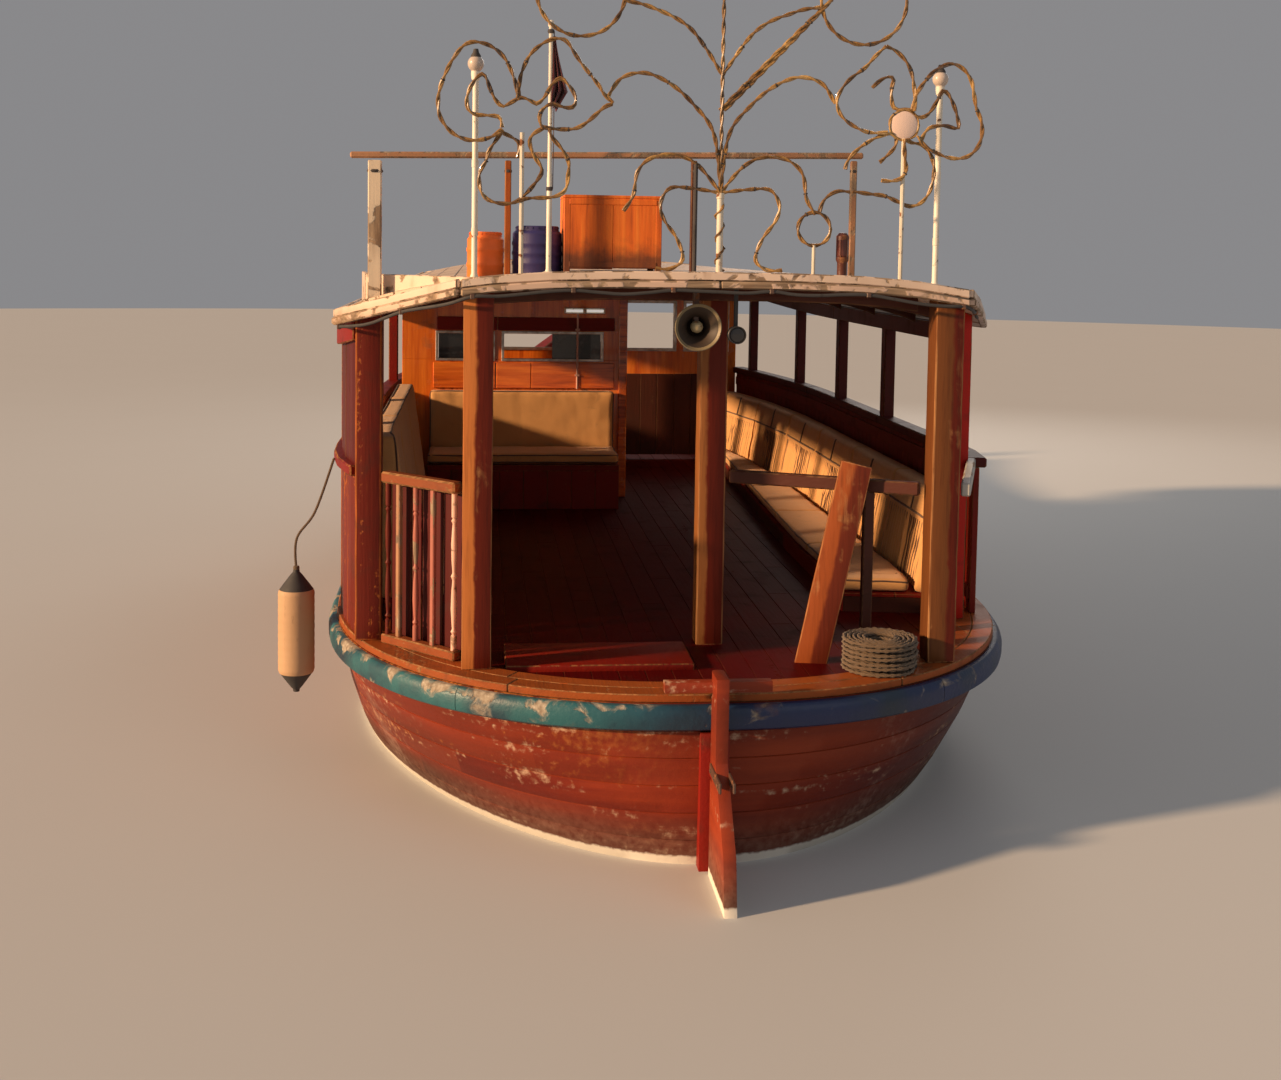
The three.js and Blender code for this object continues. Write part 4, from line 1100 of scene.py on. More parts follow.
CAMBER_X = (0, 0.45, 0.8, 1.08, 1.32, 1.54, 1.75, 2.2)
POSTS = {
    "post_quarter_port": (-1.15, -5.765, 0.15),
    "post_quarter_starboard": (1.28, -5.765, 0.15),
    "post_entry": (0.135, -5.205, 0.15),
    "corner_post_port": (-1.735, -5.165, 0.14),
    "corner_post_starboard": (1.65, -4.86, 0.115),
}
# How far to port of its middle a post's painted sunlit side ends, and that side's painted sunlit colour
POST_SUNLIT_SIDE = {
    "post_quarter_port": (0.014, (0.46, 0.155, 0.04)),
    "post_quarter_starboard": (-0.02, (0.13, 0.045, 0.013)),
    "post_entry": (0.036, (0.25, 0.095, 0.028)),
}
WALL_INSET = {"port": 0.04, "starboard": 0.11}
WALL_FROM = {"port": -5.08, "starboard": -4.775}
PLATE_FROM = {"port": -5.08, "starboard": -4.1}
WALL_TO, RAIL, FOOT = 2.15, SILL - 0.035, FLOOR + 0.0006
ROOF_PLAN = ((-5.86, -1.24, 1.362), (-5.2, -1.89, 1.62), (-4.4, -1.97, 1.93), (-3.2, -1.99, 1.96),
             (-1.2, -1.99, 1.96), (0.8, -1.96, 1.93), (2.3, -1.83, 1.8), (2.5, -1.7, 1.68))
ROOF_STARBOARD = [(x, y) for y, _, x in ROOF_PLAN]
ROOF_PORT = [(x, y) for y, x, _ in reversed(ROOF_PLAN)]
ROOF_THICK = 0.066
# How far above the roof's underside the feet of poles stand, and those of drums and posts
POLE_FOOT, POST_FOOT = 0.062, 0.064


def roof_under(x):
    """Height of the roof's underside, level along the boat and cambered across."""
    i = bracket(CAMBER_X, abs(x))
    low, high = (2.815 - 0.17 * (at / 1.75) ** 3.5 for at in CAMBER_X[i - 1:i + 1])
    return low + (high - low) * (abs(x) - CAMBER_X[i - 1]) / (CAMBER_X[i] - CAMBER_X[i - 1])


def roof_top(x):
    return roof_under(x) + ROOF_THICK


def rail_ends(first, second):
    """Where a rail between two posts meets their faces."""
    (xa, ya, wa), (xb, yb, wb) = POSTS[first], POSTS[second]
    a, b = Vector((xa, ya, RAIL)), Vector((xb, yb, RAIL))
    heading = (b - a).normalized()
    most = max(abs(heading.x), abs(heading.y))
    return [end + way * ((post / 2 + 0.002) / most + 0.03)
            for end, way, post in ((a, heading, wa), (b, -heading, wb))]


BALUSTER = ((0, 0), (0.02, 0), (0.02, 0.1), (0.012, 0.108), (0.0215, 0.125), (0.012, 0.142),
            (0.015, 0.17), (0.0215, 0.27), (0.018, 0.38), (0.0125, 0.44), (0.0125, 0.455), (0.0225, 0.475),
            (0.0125, 0.495), (0.0125, 0.51), (0.018, 0.57), (0.0215, 0.68), (0.015, 0.78), (0.012, 0.808),
            (0.0215, 0.825), (0.012, 0.842), (0.02, 0.85), (0.02, 1.0), (0, 1.0))


class DhowHouse(bpy.types.PropertyGroup):
    board: length_size("Board", "Width of a wall board", 0.125)
    roof_plank: length_size("Roof plank", "Width of a roof plank", 0.145)


def aft_posts():
    for node, (x, _, _) in POSTS.items():
        # These posts take painted sunlight to port of their edge and painted shade to starboard
        if node in POST_SUNLIT_SIDE:
            shift, lit = POST_SUNLIT_SIDE[node]
            paint = sunlit_shaded_post(node + "_varnish", x - shift, 0.0, lit)
        else:
            # The port corner post takes the sunlit worn red, as painted sunlight
            paint = sunned_red() if node == "corner_post_port" else bright_red()
        dress(node, paint, 0.009, rough=0.0028)


def side_boards(name, board):
    inset, start = WALL_INSET[name], WALL_FROM[name]
    bm = fresh()
    board_wall(bm, wall_run(name, start, WALL_TO, inset), board, 0.036, FLOOR + 0.0008, SILL - 0.0603,
        soft=0.004)
    for height in (0.98, 1.66):
        lath = wall_run(name, start + 0.02, WALL_TO - 0.02, inset, height)
        plank_run(bm, lath, rect(-0.034, -0.0185, -0.04, 0.04), 2.2, 0.004, soft=0.003)
    # The port boards take the sunlit worn red, as painted sunlight; the starboard ones plain red
    settle("boards_" + name, bm, sunned_red() if name == "port" else red("Z"), "side_planks_" + name)


def side_frame(name):
    """Sill, plate and studs of one side, and the boards over the port side's aftmost bay."""
    inset = WALL_INSET[name]
    bm = fresh()
    sill = wall_run(name, WALL_FROM[name], WALL_TO, inset, SILL)
    plank_run(bm, sill, rect(-0.06, 0.06, -0.06, 0), 2.6, 0.002, soft=0.009)
    plate = wall_run(name, PLATE_FROM[name], WALL_TO, inset, lambda x: roof_under(x + 0.06) - 0.0006)
    plank_run(bm, plate, rect(-0.045, 0.045, -0.11, 0), 2.6, 0.002, soft=0.006)
    y = -3.95
    while y < WALL_TO:
        x = SIDES[name] * (deck_half(y) - inset)
        upright(bm, x, y, SILL - 0.01, roof_under(abs(x) + 0.06) - 0.03, 0.08, 0.11, soft=0.007)
        y += 1.42
    # The studs, sill, plate and the port bay's boards take the darker red as painted shade
    paints = [dusk_red("Y")]
    if name == "port":
        bay = wall_run("port", PLATE_FROM["port"], -4.43, 0.04)
        board_wall(bm, bay, 0.108, 0.028, SILL - 0.005, lambda at: roof_under(abs(at.x) + 0.06) - 0.105,
            paint=1)
        paints = [red("Y", 0.5), dusk_red("Z")]
    settle("frame_" + name, bm, paints, "side_frame_" + name)


def balustrade():
    """The port quarter's rail, with turned and square balusters, and the lining behind it."""
    bm = fresh()
    start, end = rail_ends("post_quarter_port", "corner_post_port")
    timber(bm, start, end, 0.07, 0.06, soft=0.01, paint=1)
    foot = FOOT + 0.025
    timber(bm, (*start.xy, foot), (*end.xy, foot), 0.06, 0.05, soft=0.007, paint=1)
    low, high = FOOT + 0.045, SILL - 0.065
    right = (end - start).normalized().cross(Z)
    for share, lathed, paint in ((0.05, True, 0), (0.33, False, 3), (0.565, True, 3), (0.8, False, 4),
                                 (0.95, True, 2)):
        x, y, _ = start.lerp(end, share)
        if lathed:
            profile = [(radius * 0.78, low + (high - low) * height) for radius, height in BALUSTER]
            turned(bm, profile, (x, y, 0), 14, paint)
        else:
            timber(bm, (x, y, low - 0.02), (x, y, high + 0.02), 0.03, 0.026, up=right, soft=0.005,
                paint=paint)
    varnished = worn_timber("rail_varnish", (0.24, 0.06, 0.016), (0.38, 0.19, 0.08), "X", 0.65)
    # The sunlit worn red on the last turned baluster carries painted sunlight
    settle("balustrade", bm, [pink_paint(), varnished, sunned_red(), dull_pink(), tan_paint()],
           "quarter_balustrade")
    bm = fresh()
    inward = right.normalized() * 0.052
    back = Run([(p + inward).xy.to_3d() for p in (start, end)])
    board_wall(bm, back, 0.085, 0.012, FOOT + 0.01, SILL - 0.08, gap=0.012)
    # The lining takes the darker red as painted shade
    settle("quarter_lining", bm, dusk_red("Z"), ())


def entry_rail():
    bm = fresh()
    start, end = rail_ends("post_entry", "post_quarter_starboard")
    timber(bm, start, end, 0.06, 0.07, soft=0.008)
    x, y, _ = start.lerp(end, 0.74)
    upright(bm, x, y, DECK + HAIR, SILL - 0.068, 0.055, soft=0.006)
    settle("rail_entry", bm, dark("X"), "entry_rail")


def quarter_rail():
    bm = fresh()
    start, end = rail_ends("post_quarter_starboard", "corner_post_starboard")
    timber(bm, start, end, 0.06, 0.07, soft=0.012)
    heading = (end - start).normalized()
    for share in (0.3, 0.72):
        for offset in (-0.0275, 0.0275):
            x, y, _ = start.lerp(end, share) + heading * offset
            timber(bm, (x, y, FOOT), (x, y, SILL - 0.068), 0.052, 0.03, up=heading.cross(Z), paint=1)
    timber(bm, (1.392, -5.82, SILL - 0.025), (1.748, -4.845, SILL - 0.025), 0.05, 0.07, soft=0.008)
    settle("rail_starboard", bm, [cream_paint("grey_paint", (0.42, 0.41, 0.38), "Y", 0.25), red("Z")],
           "quarter_rail")


class DHOW_OT_house(bpy.types.Operator):
    """Aft posts, side walls, rails and turned balusters"""
    bl_idname = "dhow.house"
    bl_label = "House"

    def execute(self, context):
        aft_posts()
        for name in SIDES:
            side_boards(name, context.scene.dhow_house.board)
            side_frame(name)
        balustrade()
        entry_rail()
        quarter_rail()
        dress("landing_board", red("Y"), 0.006)
        return {"FINISHED"}


# Roof

def roof_planks(width):
    """Planks laid along the camber in staggered lengths, then trimmed to the roof's outline."""
    bm = fresh()
    lanes = round(4.0 / width)
    width = 4.0 / lanes
    for lane in range(lanes):
        x = -2.0 + (lane + 0.5) * width
        lift = [roof_under(x + side * width / 2) for side in (-1, 1)]
        tilt = atan2(lift[1] - lift[0], width)
        cuts = [-5.9, *(-4.8 + 0.55 * (lane % 4) + 2.2 * i for i in range(4)), 2.6]
        up = Vector((-sin(tilt), 0, cos(tilt)))
        middle = Vector((x, 0, sum(lift) / 2)) + up * 0.0345
        for a, b in zip(cuts, cuts[1:]):
            timber(bm, middle + Y * (a + 0.001), middle + Y * (b - 0.001), width - GAP, 0.069, up=up,
                soft=0.003)
    outline = ROOF_STARBOARD + ROOF_PORT
    for (xa, ya), (xb, yb) in zip(outline, outline[1:] + outline[:1]):
        normal = Vector((yb - ya, xa - xb, 0)).normalized()
        cut = slice_at(bm, (xa, ya, 0), normal, clear_outer=True, dist=1e-5)
        rims = [item for item in cut if isinstance(item, bmesh.types.BMEdge)]
        bmesh.ops.holes_fill(bm, edges=rims, sides=0)
    settle("roof_planks", bm, cream_paint("roof_paint", (0.62, 0.47, 0.35), "Y", 0.2), "roof")


AFT_LINE = [(x, -5.86) for x in (-1.08, -0.8, -0.45, 0.0, 0.45, 0.8, 1.08)]
FORE_LINE = [(x, 2.5) for x, _ in reversed(AFT_LINE)]


def roof_edge():
    bm = fresh()
    for line in (ROOF_STARBOARD, ROOF_STARBOARD[-1:] + FORE_LINE + ROOF_PORT[:1],
                 ROOF_PORT, ROOF_PORT[-1:] + AFT_LINE + ROOF_STARBOARD[:1]):
        run = Run([(x, y, roof_under(x)) for x, y in line])
        plank_run(bm, run, rect(HAIR, 0.03, 0.037, 0.082), 2.4, 0.002, soft=0.006)
        plank_run(bm, run, rect(HAIR, 0.04, -0.005, 0.035), 1.7, 0.002, soft=0.008, paint=1)
    settle("edge_boards", bm, [edge_paint(), cream_paint("edge_foot", (0.66, 0.48, 0.37), "X", 0.8)],
        "roof_edge")


def edge_cable(count=34):
    """A cable slung from clip to clip under the aft edge."""
    bm = fresh()
    places = [ROOF_PORT[-2], ROOF_PORT[-1], *AFT_LINE, *ROOF_STARBOARD[:2]]
    run = Run([(x, y - 0.047, roof_under(x) - 0.012) for x, y in places])
    points = []
    for i in range(count + 1):
        sag = sin(pi * (i % 4) / 4) * (0.6 + 0.4 * sin(i))
        points.append(run.at(run.length * i / count)[0] - Z * 0.022 * sag)
    pipe(bm, points, 0.009)
    for x, y, z in points[::4]:
        level_bar(bm, x - 0.012, x + 0.012, y + 0.002, z, 0.026, 0.026, paint=1)
    settle("edge_cable", bm, [rubber(), old_iron()], ())


def roof_coaming():
    """The upstand on the roof's port quarter, with its foot cut to the camber."""
    bm = fresh()
    run = Run([(-1.27, -5.832, 0), (-1.885, -5.2, 0), (-1.965, -4.4, 0)])
    for a, b in ((0.002, run.length / 2 - 0.002), (run.length / 2 + 0.002, run.length - 0.002)):
        faces = sweep(bm, frames(run.part(a, b)), rect(0.131, 0.157, 2.7, 2.852))
        feet = sorted({vert for face in faces for vert in face.verts}, key=lambda vert: vert.co.z)
        for vert in feet[:len(feet) // 2]:
            vert.co.z = roof_under(vert.co.x) + 0.071
        ease_bends(bm, faces, 0.005)
    settle("coaming", bm, edge_paint(), "roof_coaming")


class DHOW_OT_roof(bpy.types.Operator):
    """Planked roof with its edge boards, beams, coaming and edge cable"""
    bl_idname = "dhow.roof"
    bl_label = "Roof"

    def execute(self, context):
        roof_planks(context.scene.dhow_house.roof_plank)
        roof_edge()
        edge_cable()
        roof_coaming()
        dress("roof_beams", dark("X"), 0.008)
        return {"FINISHED"}


# Saloon

BENCH_TO = {"port": -1.15, "starboard": 2.03}
BENCH_RUN = {name: wall_run(name, -4.66, BENCH_TO[name] - 0.02, 0.0) for name in SIDES}
BACK_TOP = {"port": 1.9, "starboard": 1.56}
TAPER_AT, TAPER_SLOPE = (1.095, -3.0), 0.04
SEAT_BACK, SEAT_FRONT, SEAT_MIDDLE, BACK_FOOT = 0.4725, 0.8875, 0.9855, 0.9408


class Stuffed:
    """A stuffed cushion of a length, height and thickness, and how it is fitted in its place."""

    def __init__(self, size, fit, corner, crown, pull=0.012, fold=0.005, seed=0.0, pleats=None):
        self.half, self.fit, self.corner, self.crown = Vector(size) / 2, fit, corner, crown
        self.pull, self.fold, self.seed, self.pleats = pull, fold, seed, pleats

    def at(self, share, proud=0.0):
        """Where a point of the unit box lies on the cushion, or a little proud of it."""
        point = Vector(a * b for a, b in zip(share, self.half))
        core = Vector(max(self.corner - h, min(h - self.corner, p)) for h, p in zip(self.half, point))
        off = point - core
        point = core + (off.normalized() * (self.corner + proud) if off.length > 1e-6 else off)
        swell = max(0, (1 - share.x ** 2) * (1 - share.y ** 2)) ** 0.5
        point.z *= 1 - self.crown + self.crown * swell
        point.x *= 1 - self.pull * (1 - share.y ** 2) * 0.5
        point.y *= 1 - self.pull * (1 - share.x ** 2)
        rough = noise.noise(Vector((point.x * 9 + self.seed, point.y * 9, point.z * 9)))
        rough += 0.6 * noise.noise(Vector((point.x * 23, point.y * 6 + self.seed, point.z * 4)))
        point.z += self.fold * rough * (1.3 - swell) * (1 if share.z > 0 else 0.3)
        if self.pleats and share.z > 0.2 and share.y < self.pleats:
            depth = min(1.0, (self.pleats - share.y) / 0.15)
            point.z += depth * (0.008 * sin(point.x * 118 + 1.5 * rough) - 0.012)
        return self.fit(point)

    def mesh(self, cuts, welts=()):
        bm = fresh()
        bmesh.ops.create_cube(bm, size=2.0)
        for axis, count in enumerate(cuts):
            edges = [edge for edge in bm.edges
                     if abs((edge.verts[0].co - edge.verts[1].co).normalized()[axis]) > 0.9]
            bmesh.ops.subdivide_edges(bm, edges=edges, cuts=count, use_grid_fill=True)
        for vert in bm.verts:
            vert.co = self.at(vert.co)
        for share in welts:
            self.welt(bm, share)
        return bm

    def welt(self, bm, share):
        """Piping round the cushion at a share of its thickness."""
        loop = []
        for x, y in circle(1.0, 96):
            most = max(abs(x), abs(y))
            loop.append(self.at(Vector((x / most, y / most, share))))
        pipe(bm, loop, 0.006, 6, closed=True, paint=1, smooth=0)

    def strap(self, bm, low, high, wide=0.026):
        """A flat strap down the middle of the cushion's face."""
        line = [self.at(Vector((0, low + (high - low) * i / 8, 1)), 0.004) for i in range(9)]
        ends = [self.at(Vector((x, low, 1))) for x in (-0.05, 0.05)]
        wing = (ends[1] - ends[0]).normalized()
        for a, b in zip(line, line[1:]):
            timber(bm, a, b, wide, 0.004, up=(b - a).cross(wing), soft=0.0, paint=2)

    def pleat(self, bm):
        """Dark cords in the pleat valleys below a cord, as painted shade, and a strap above it."""
        cord = [self.at(Vector((x / 20, 0.41, 1)), 0.003) for x in range(-19, 20)]
        pipe(bm, cord, 0.007, 6, paint=1, smooth=2)
        self.strap(bm, 0.42, 0.97)
        # Thin dark cords along the pleat valleys stand for the shade in the folds
        for k in range(1, 22):
            fold = [self.at(Vector((k / 11 - 1, y / 10, 1)), 0.001) for y in range(-9, 5, 2)]
            pipe(bm, fold, 0.0036, 4, paint=1, smooth=0)


def cushion(name, bm, node, *more):
    piece = settle(name, bm, [bench_cloth(), seam_cord(), *more], node, limit=1.2)


def bench_box(name):
    bm = fresh()
    run = Run([(p.x, p.y, DECK) for p in wall_run(name, -4.68, BENCH_TO[name], 0.0).points])
    sweep(bm, frames(run.points), rect(-0.87, -0.25, 0.007, 0.098), paint=1)
    for section in ((-0.889, -0.871, 0.007, 0.1195), (-0.872, -0.56, 0.099, 0.1195),
            (-0.558, -0.25, 0.099, 0.1195)):
        plank_run(bm, run, rect(*section), 1.2, soft=0.003)
    if name == "starboard":
        slice_at(bm, (*TAPER_AT, 0), (-1.0, TAPER_SLOPE, 0), clear_outer=True)
        rims = [edge for edge in bm.edges if edge.is_boundary]
        mark(bm, bmesh.ops.holes_fill(bm, edges=rims, sides=0)["faces"], worn=0.0)
    settle("bench_box_" + name, bm, [red("Y"), dark("Y")], "bench_" + name)


def fitted(run, middle, offset, height):
    """Fits a cushion's own length, height and thickness along a bench."""
    def fit(point):
        place, heading = run.at(middle + point.x)
        return place + heading.cross(Z).normalized() * offset(point) + Z * height(point)
    return fit


def bench_depth(run, along):
    """How far inboard of the deck's edge the starboard bench's straight front edge lies."""
    y = run.at(max(0, min(run.length, along)))[0].y
    return deck_half(y) - TAPER_AT[0] - TAPER_SLOPE * (y - TAPER_AT[1])


def seat_row(name):
    run = BENCH_RUN[name]
    count, whole = (3, run.length) if name == "port" else (5, run.length * 0.95)
    wide = SEAT_FRONT - SEAT_BACK
    for i in range(count):
        middle = (i + 0.5) * whole / count

        def across(point):
            deep = wide
            if name == "starboard":
                deep = min(SEAT_FRONT, bench_depth(run, middle + point.x) - 0.0025) - SEAT_BACK
            return -SEAT_BACK - deep * (0.5 - point.y / wide)
        fit = fitted(run, middle, across, lambda p: SEAT_MIDDLE + p.z)
        stuffed = Stuffed((whole / count - 0.006, wide, 0.088), fit, 0.028, 0.2, seed=3.1 * i)
        cushion(f"seat_{name}_{i + 1}", stuffed.mesh((44, 18, 3), (0.75,)), "seat_cushion_" + name)


def back_row(name):
    run, tall = BENCH_RUN[name], BACK_TOP[name] - BACK_FOOT
    pleated = name == "starboard"
    count = 6 if pleated else 3
    for i in range(count):
        def across(p):
            inner = -0.46 + 0.13 * (p.y / tall + 0.5)
            deep = -0.187 - inner
            return inner + deep / 2 - p.z * deep / 0.2
        fit = fitted(run, (i + 0.5) * run.length / count, across, lambda p: BACK_FOOT + tall / 2 + p.y)
        stuffed = Stuffed((run.length / count - 0.006, tall - 0.004, 0.2), fit, 0.03, 0.1, 0.008,
            seed=5.7 * i, pleats=0.4 if pleated else None)
        bm = stuffed.mesh((115, 22, 5)) if pleated else stuffed.mesh((40, 22, 5), (0.8, -0.8))
        if pleated:
            stuffed.pleat(bm)
        cushion(f"back_{name}_{i + 1}", bm, "back_cushion_" + name, strap_cloth())


def forward_bench():
    bm = fresh()
    x0, x1, y0, y1 = -1.56, 0.04, -0.91, -0.2503
    middle = (x0 + x1) / 2
    timber(bm, (middle, y0 + 0.02, 1.005), (middle, y1, 1.005), x1 - x0 - 0.04, 0.355, soft=0.0, paint=1)
    for i in range(8):
        upright(bm, x0 + 0.1 + 0.2 * i, y0 + 0.009, 0.8275, 1.15, 0.197, 0.018, soft=0.003)
    level_bar(bm, x0, x1, y0 + 0.01, 1.174, 0.02, 0.05, soft=0.005)
    timber(bm, (middle, y0 + 0.02, 1.191), (middle, y1, 1.191), x1 - x0, 0.018, soft=0.003)
    settle("bench_box_forward", bm, [red("Z"), dark("X")], "bench_forward")
    seat = Stuffed((1.59, 0.492, 0.098), lambda p: Vector((middle + p.x, -0.6598 + p.y, 1.2505 + p.z)),
                   0.026, 0.2, seed=8.3)
    cushion("seat_forward_1", seat.mesh((60, 18, 4), (0.75, -0.75)), "seat_cushion_forward")
    back = Stuffed((1.59, 0.566, 0.146), lambda p: Vector((middle + p.x, -0.3255 - p.z, 1.4855 + p.y)),
                   0.03, 0.14, 0.01, 0.008, 2.9)
    cushion("back_forward_1", back.mesh((60, 22, 4), (0.75,)), "back_cushion_forward")


class DHOW_OT_saloon(bpy.types.Operator):
    """Benches and their cushions"""
    bl_idname = "dhow.saloon"
    bl_label = "Saloon"

    def execute(self, context):
        for name in SIDES:
            bench_box(name)
            seat_row(name)
            back_row(name)
        forward_bench()
        return {"FINISHED"}


# Bulkheads and helm

AFT_FACE = -0.25


def window_frame(bm, x0, x1, z0, z1, y, width=0.022, proud=0.01):
    """A window frame on the face at y."""
    for z in (z0, z1):
        level_bar(bm, x0 - width / 2, x1 + width / 2, y - proud / 2, z, proud, width, soft=0.003, paint=1)
    for x in (x0, x1):
        upright(bm, x, y - proud / 2, z0 + width / 2, z1 - width / 2, width, proud, soft=0.003, paint=1)


def saloon_wall():
    for node in ("bulkhead", "bulkhead_panel"):
        dress(node, varnish("Z"), 0.003, segments=1)
    bm = fresh()
    for x0, x1 in ((-1.5, -1.01), (-0.93, -0.06)):
        for y in (AFT_FACE, AFT_FACE + 0.055):
            window_frame(bm, x0, x1, 2.03, 2.27, y)
    for x0, x1 in ((-1.53, -0.995), (-0.985, -0.685), (-0.68, 0.045)):
        level_bar(bm, x0, x1, AFT_FACE - 0.009, 1.895, 0.018, 0.225, soft=0.005)
    for x0, x1 in ((-1.5, -0.98), (-0.975, 0.045)):
        level_bar(bm, x0, x1, AFT_FACE - 0.011, 2.345, 0.022, 0.115, soft=0.005, paint=2)
    upright(bm, 0.12, AFT_FACE - 0.016, DECK + 0.008, 2.7, 0.07, 0.032, soft=0.005)
    settle("bulkhead_trim", bm, [varnish("X"), chrome(), red("X", 0.2)], ())


def smoked_panes():
    bm = fresh()
    for x0, x1 in ((-0.5, -0.075), (-1.485, -1.2)):
        level_bar(bm, x0, x1, AFT_FACE + 0.02, 2.15, 0.005, 0.225, soft=0.001)
    settle("smoked_panes", bm, smoked_glass(), ())


def lamp_conduit():
    bm = fresh()
    x, y = -0.28, AFT_FACE - 0.02
    pipe(bm, [(x, y, 2.44), (x, y, 1.78)], 0.009, smooth=0)
    for z in (2.3, 1.9):
        level_bar(bm, x - 0.02, x + 0.02, y + 0.004, z, 0.03, 0.018, soft=0.003)
    settle("lamp_conduit", bm, painted_metal("pink_conduit", (0.6, 0.36, 0.3), 0.2), ())


def front_wall():
    dress("cabin_front", varnish("Z"), 0.003, segments=1)
    bm = fresh()
    for x0, x1 in ((-1.45, -1.0), (-0.9, -0.35), (-0.25, 0.25), (0.35, 0.9), (1.0, 1.45)):
        for y in (2.151, 2.213):
            window_frame(bm, x0, x1, 1.97, 2.47, y, 0.03, 0.012)
    for z in (0.98, 1.86):
        level_bar(bm, -1.5, 1.5, 2.21, z, 0.02, 0.07, soft=0.005, paint=2)
    for i in range(14):
        upright(bm, -1.12 + 0.175 * i, 2.142, 0.875, 1.72, 0.173, 0.016, soft=0.003, paint=3)
    settle("front_trim", bm, [varnish("X"), chrome(), red("X", 0.3), dark("Z")], ())


def tube_lamp():
    """Two tubes end to end on a batten, each between its holders."""
    bm = fresh()
    low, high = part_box("cabin_lamp")
    middle = (low + high) / 2
    level_bar(bm, low.x, high.x, high.y - 0.008, middle.z, 0.014, 0.048, soft=0.003)
    for a, b in ((low.x + 0.004, middle.x - 0.004), (middle.x + 0.004, high.x - 0.004)):
        tube = [(x, middle.y - 0.006, middle.z) for x in (a + 0.012, b - 0.012)]
        pipe(bm, tube, 0.012, 10, paint=1, smooth=0)
        for x in (a + 0.006, b - 0.006):
            level_bar(bm, x - 0.006, x + 0.006, middle.y - 0.004, middle.z, 0.036, 0.032)
    settle("tube_lamp", bm, [white_metal(), tube_glass()], "cabin_lamp")


def helm_stand():
    bm = cad_copy("helm_stand")
    soften(bm, 0.008)
    settle("helm_box", bm, varnish("Z"), "helm_stand")


def steering_wheel():
    bm = fresh()
    face = lain((-0.12, 1.48, 1.9), "X", 1)
    pipe(bm, [face @ Vector((x, y, 0)) for x, y in circle(0.25, 48)], 0.0175, 10, closed=True, smooth=2)
    spoke = solid((0.013, 0.05), (0.011, 0.09), (0.017, 0.13), (0.010, 0.18), (0.014, 0.215), (0.017, 0.23),
                  (0.017, 0.268), (0.009, 0.278), (0.0145, 0.29), (0.0145, 0.295), (0.006, 0.3))
    for i in range(6):
        turn = face @ Matrix.Rotation(i * pi / 3, 4, "Z") @ Matrix.Rotation(pi / 2, 4, "Y")
        turned(bm, spoke, turn, 10)
    turned(bm, ((0, -0.025), (0.05, -0.025), (0.055, -0.02), (0.055, 0.015), (0.048, 0.025), (0.03, 0.03),
                (0, 0.032)), face, 20)
    turned(bm, ((0, 0.03), (0.02, 0.03), (0.022, 0.036), (0.014, 0.044), (0, 0.046)), face, 14, 1)
    settle("helm_wheel", bm, [varnish("Z"), bronze()], "steering_wheel", "steering_wheel")


class DHOW_OT_bulkhead(bpy.types.Operator):
    """Bulkheads with their windows, door frame and lamp, and the helm"""
    bl_idname = "dhow.bulkhead"
    bl_label = "Bulkheads and helm"

    def execute(self, context):
        saloon_wall()
        smoked_panes()
        lamp_conduit()
        front_wall()
        tube_lamp()
        helm_stand()
        steering_wheel()
        return {"FINISHED"}


# Rope-light figures

AFT_PLANE = -5.76
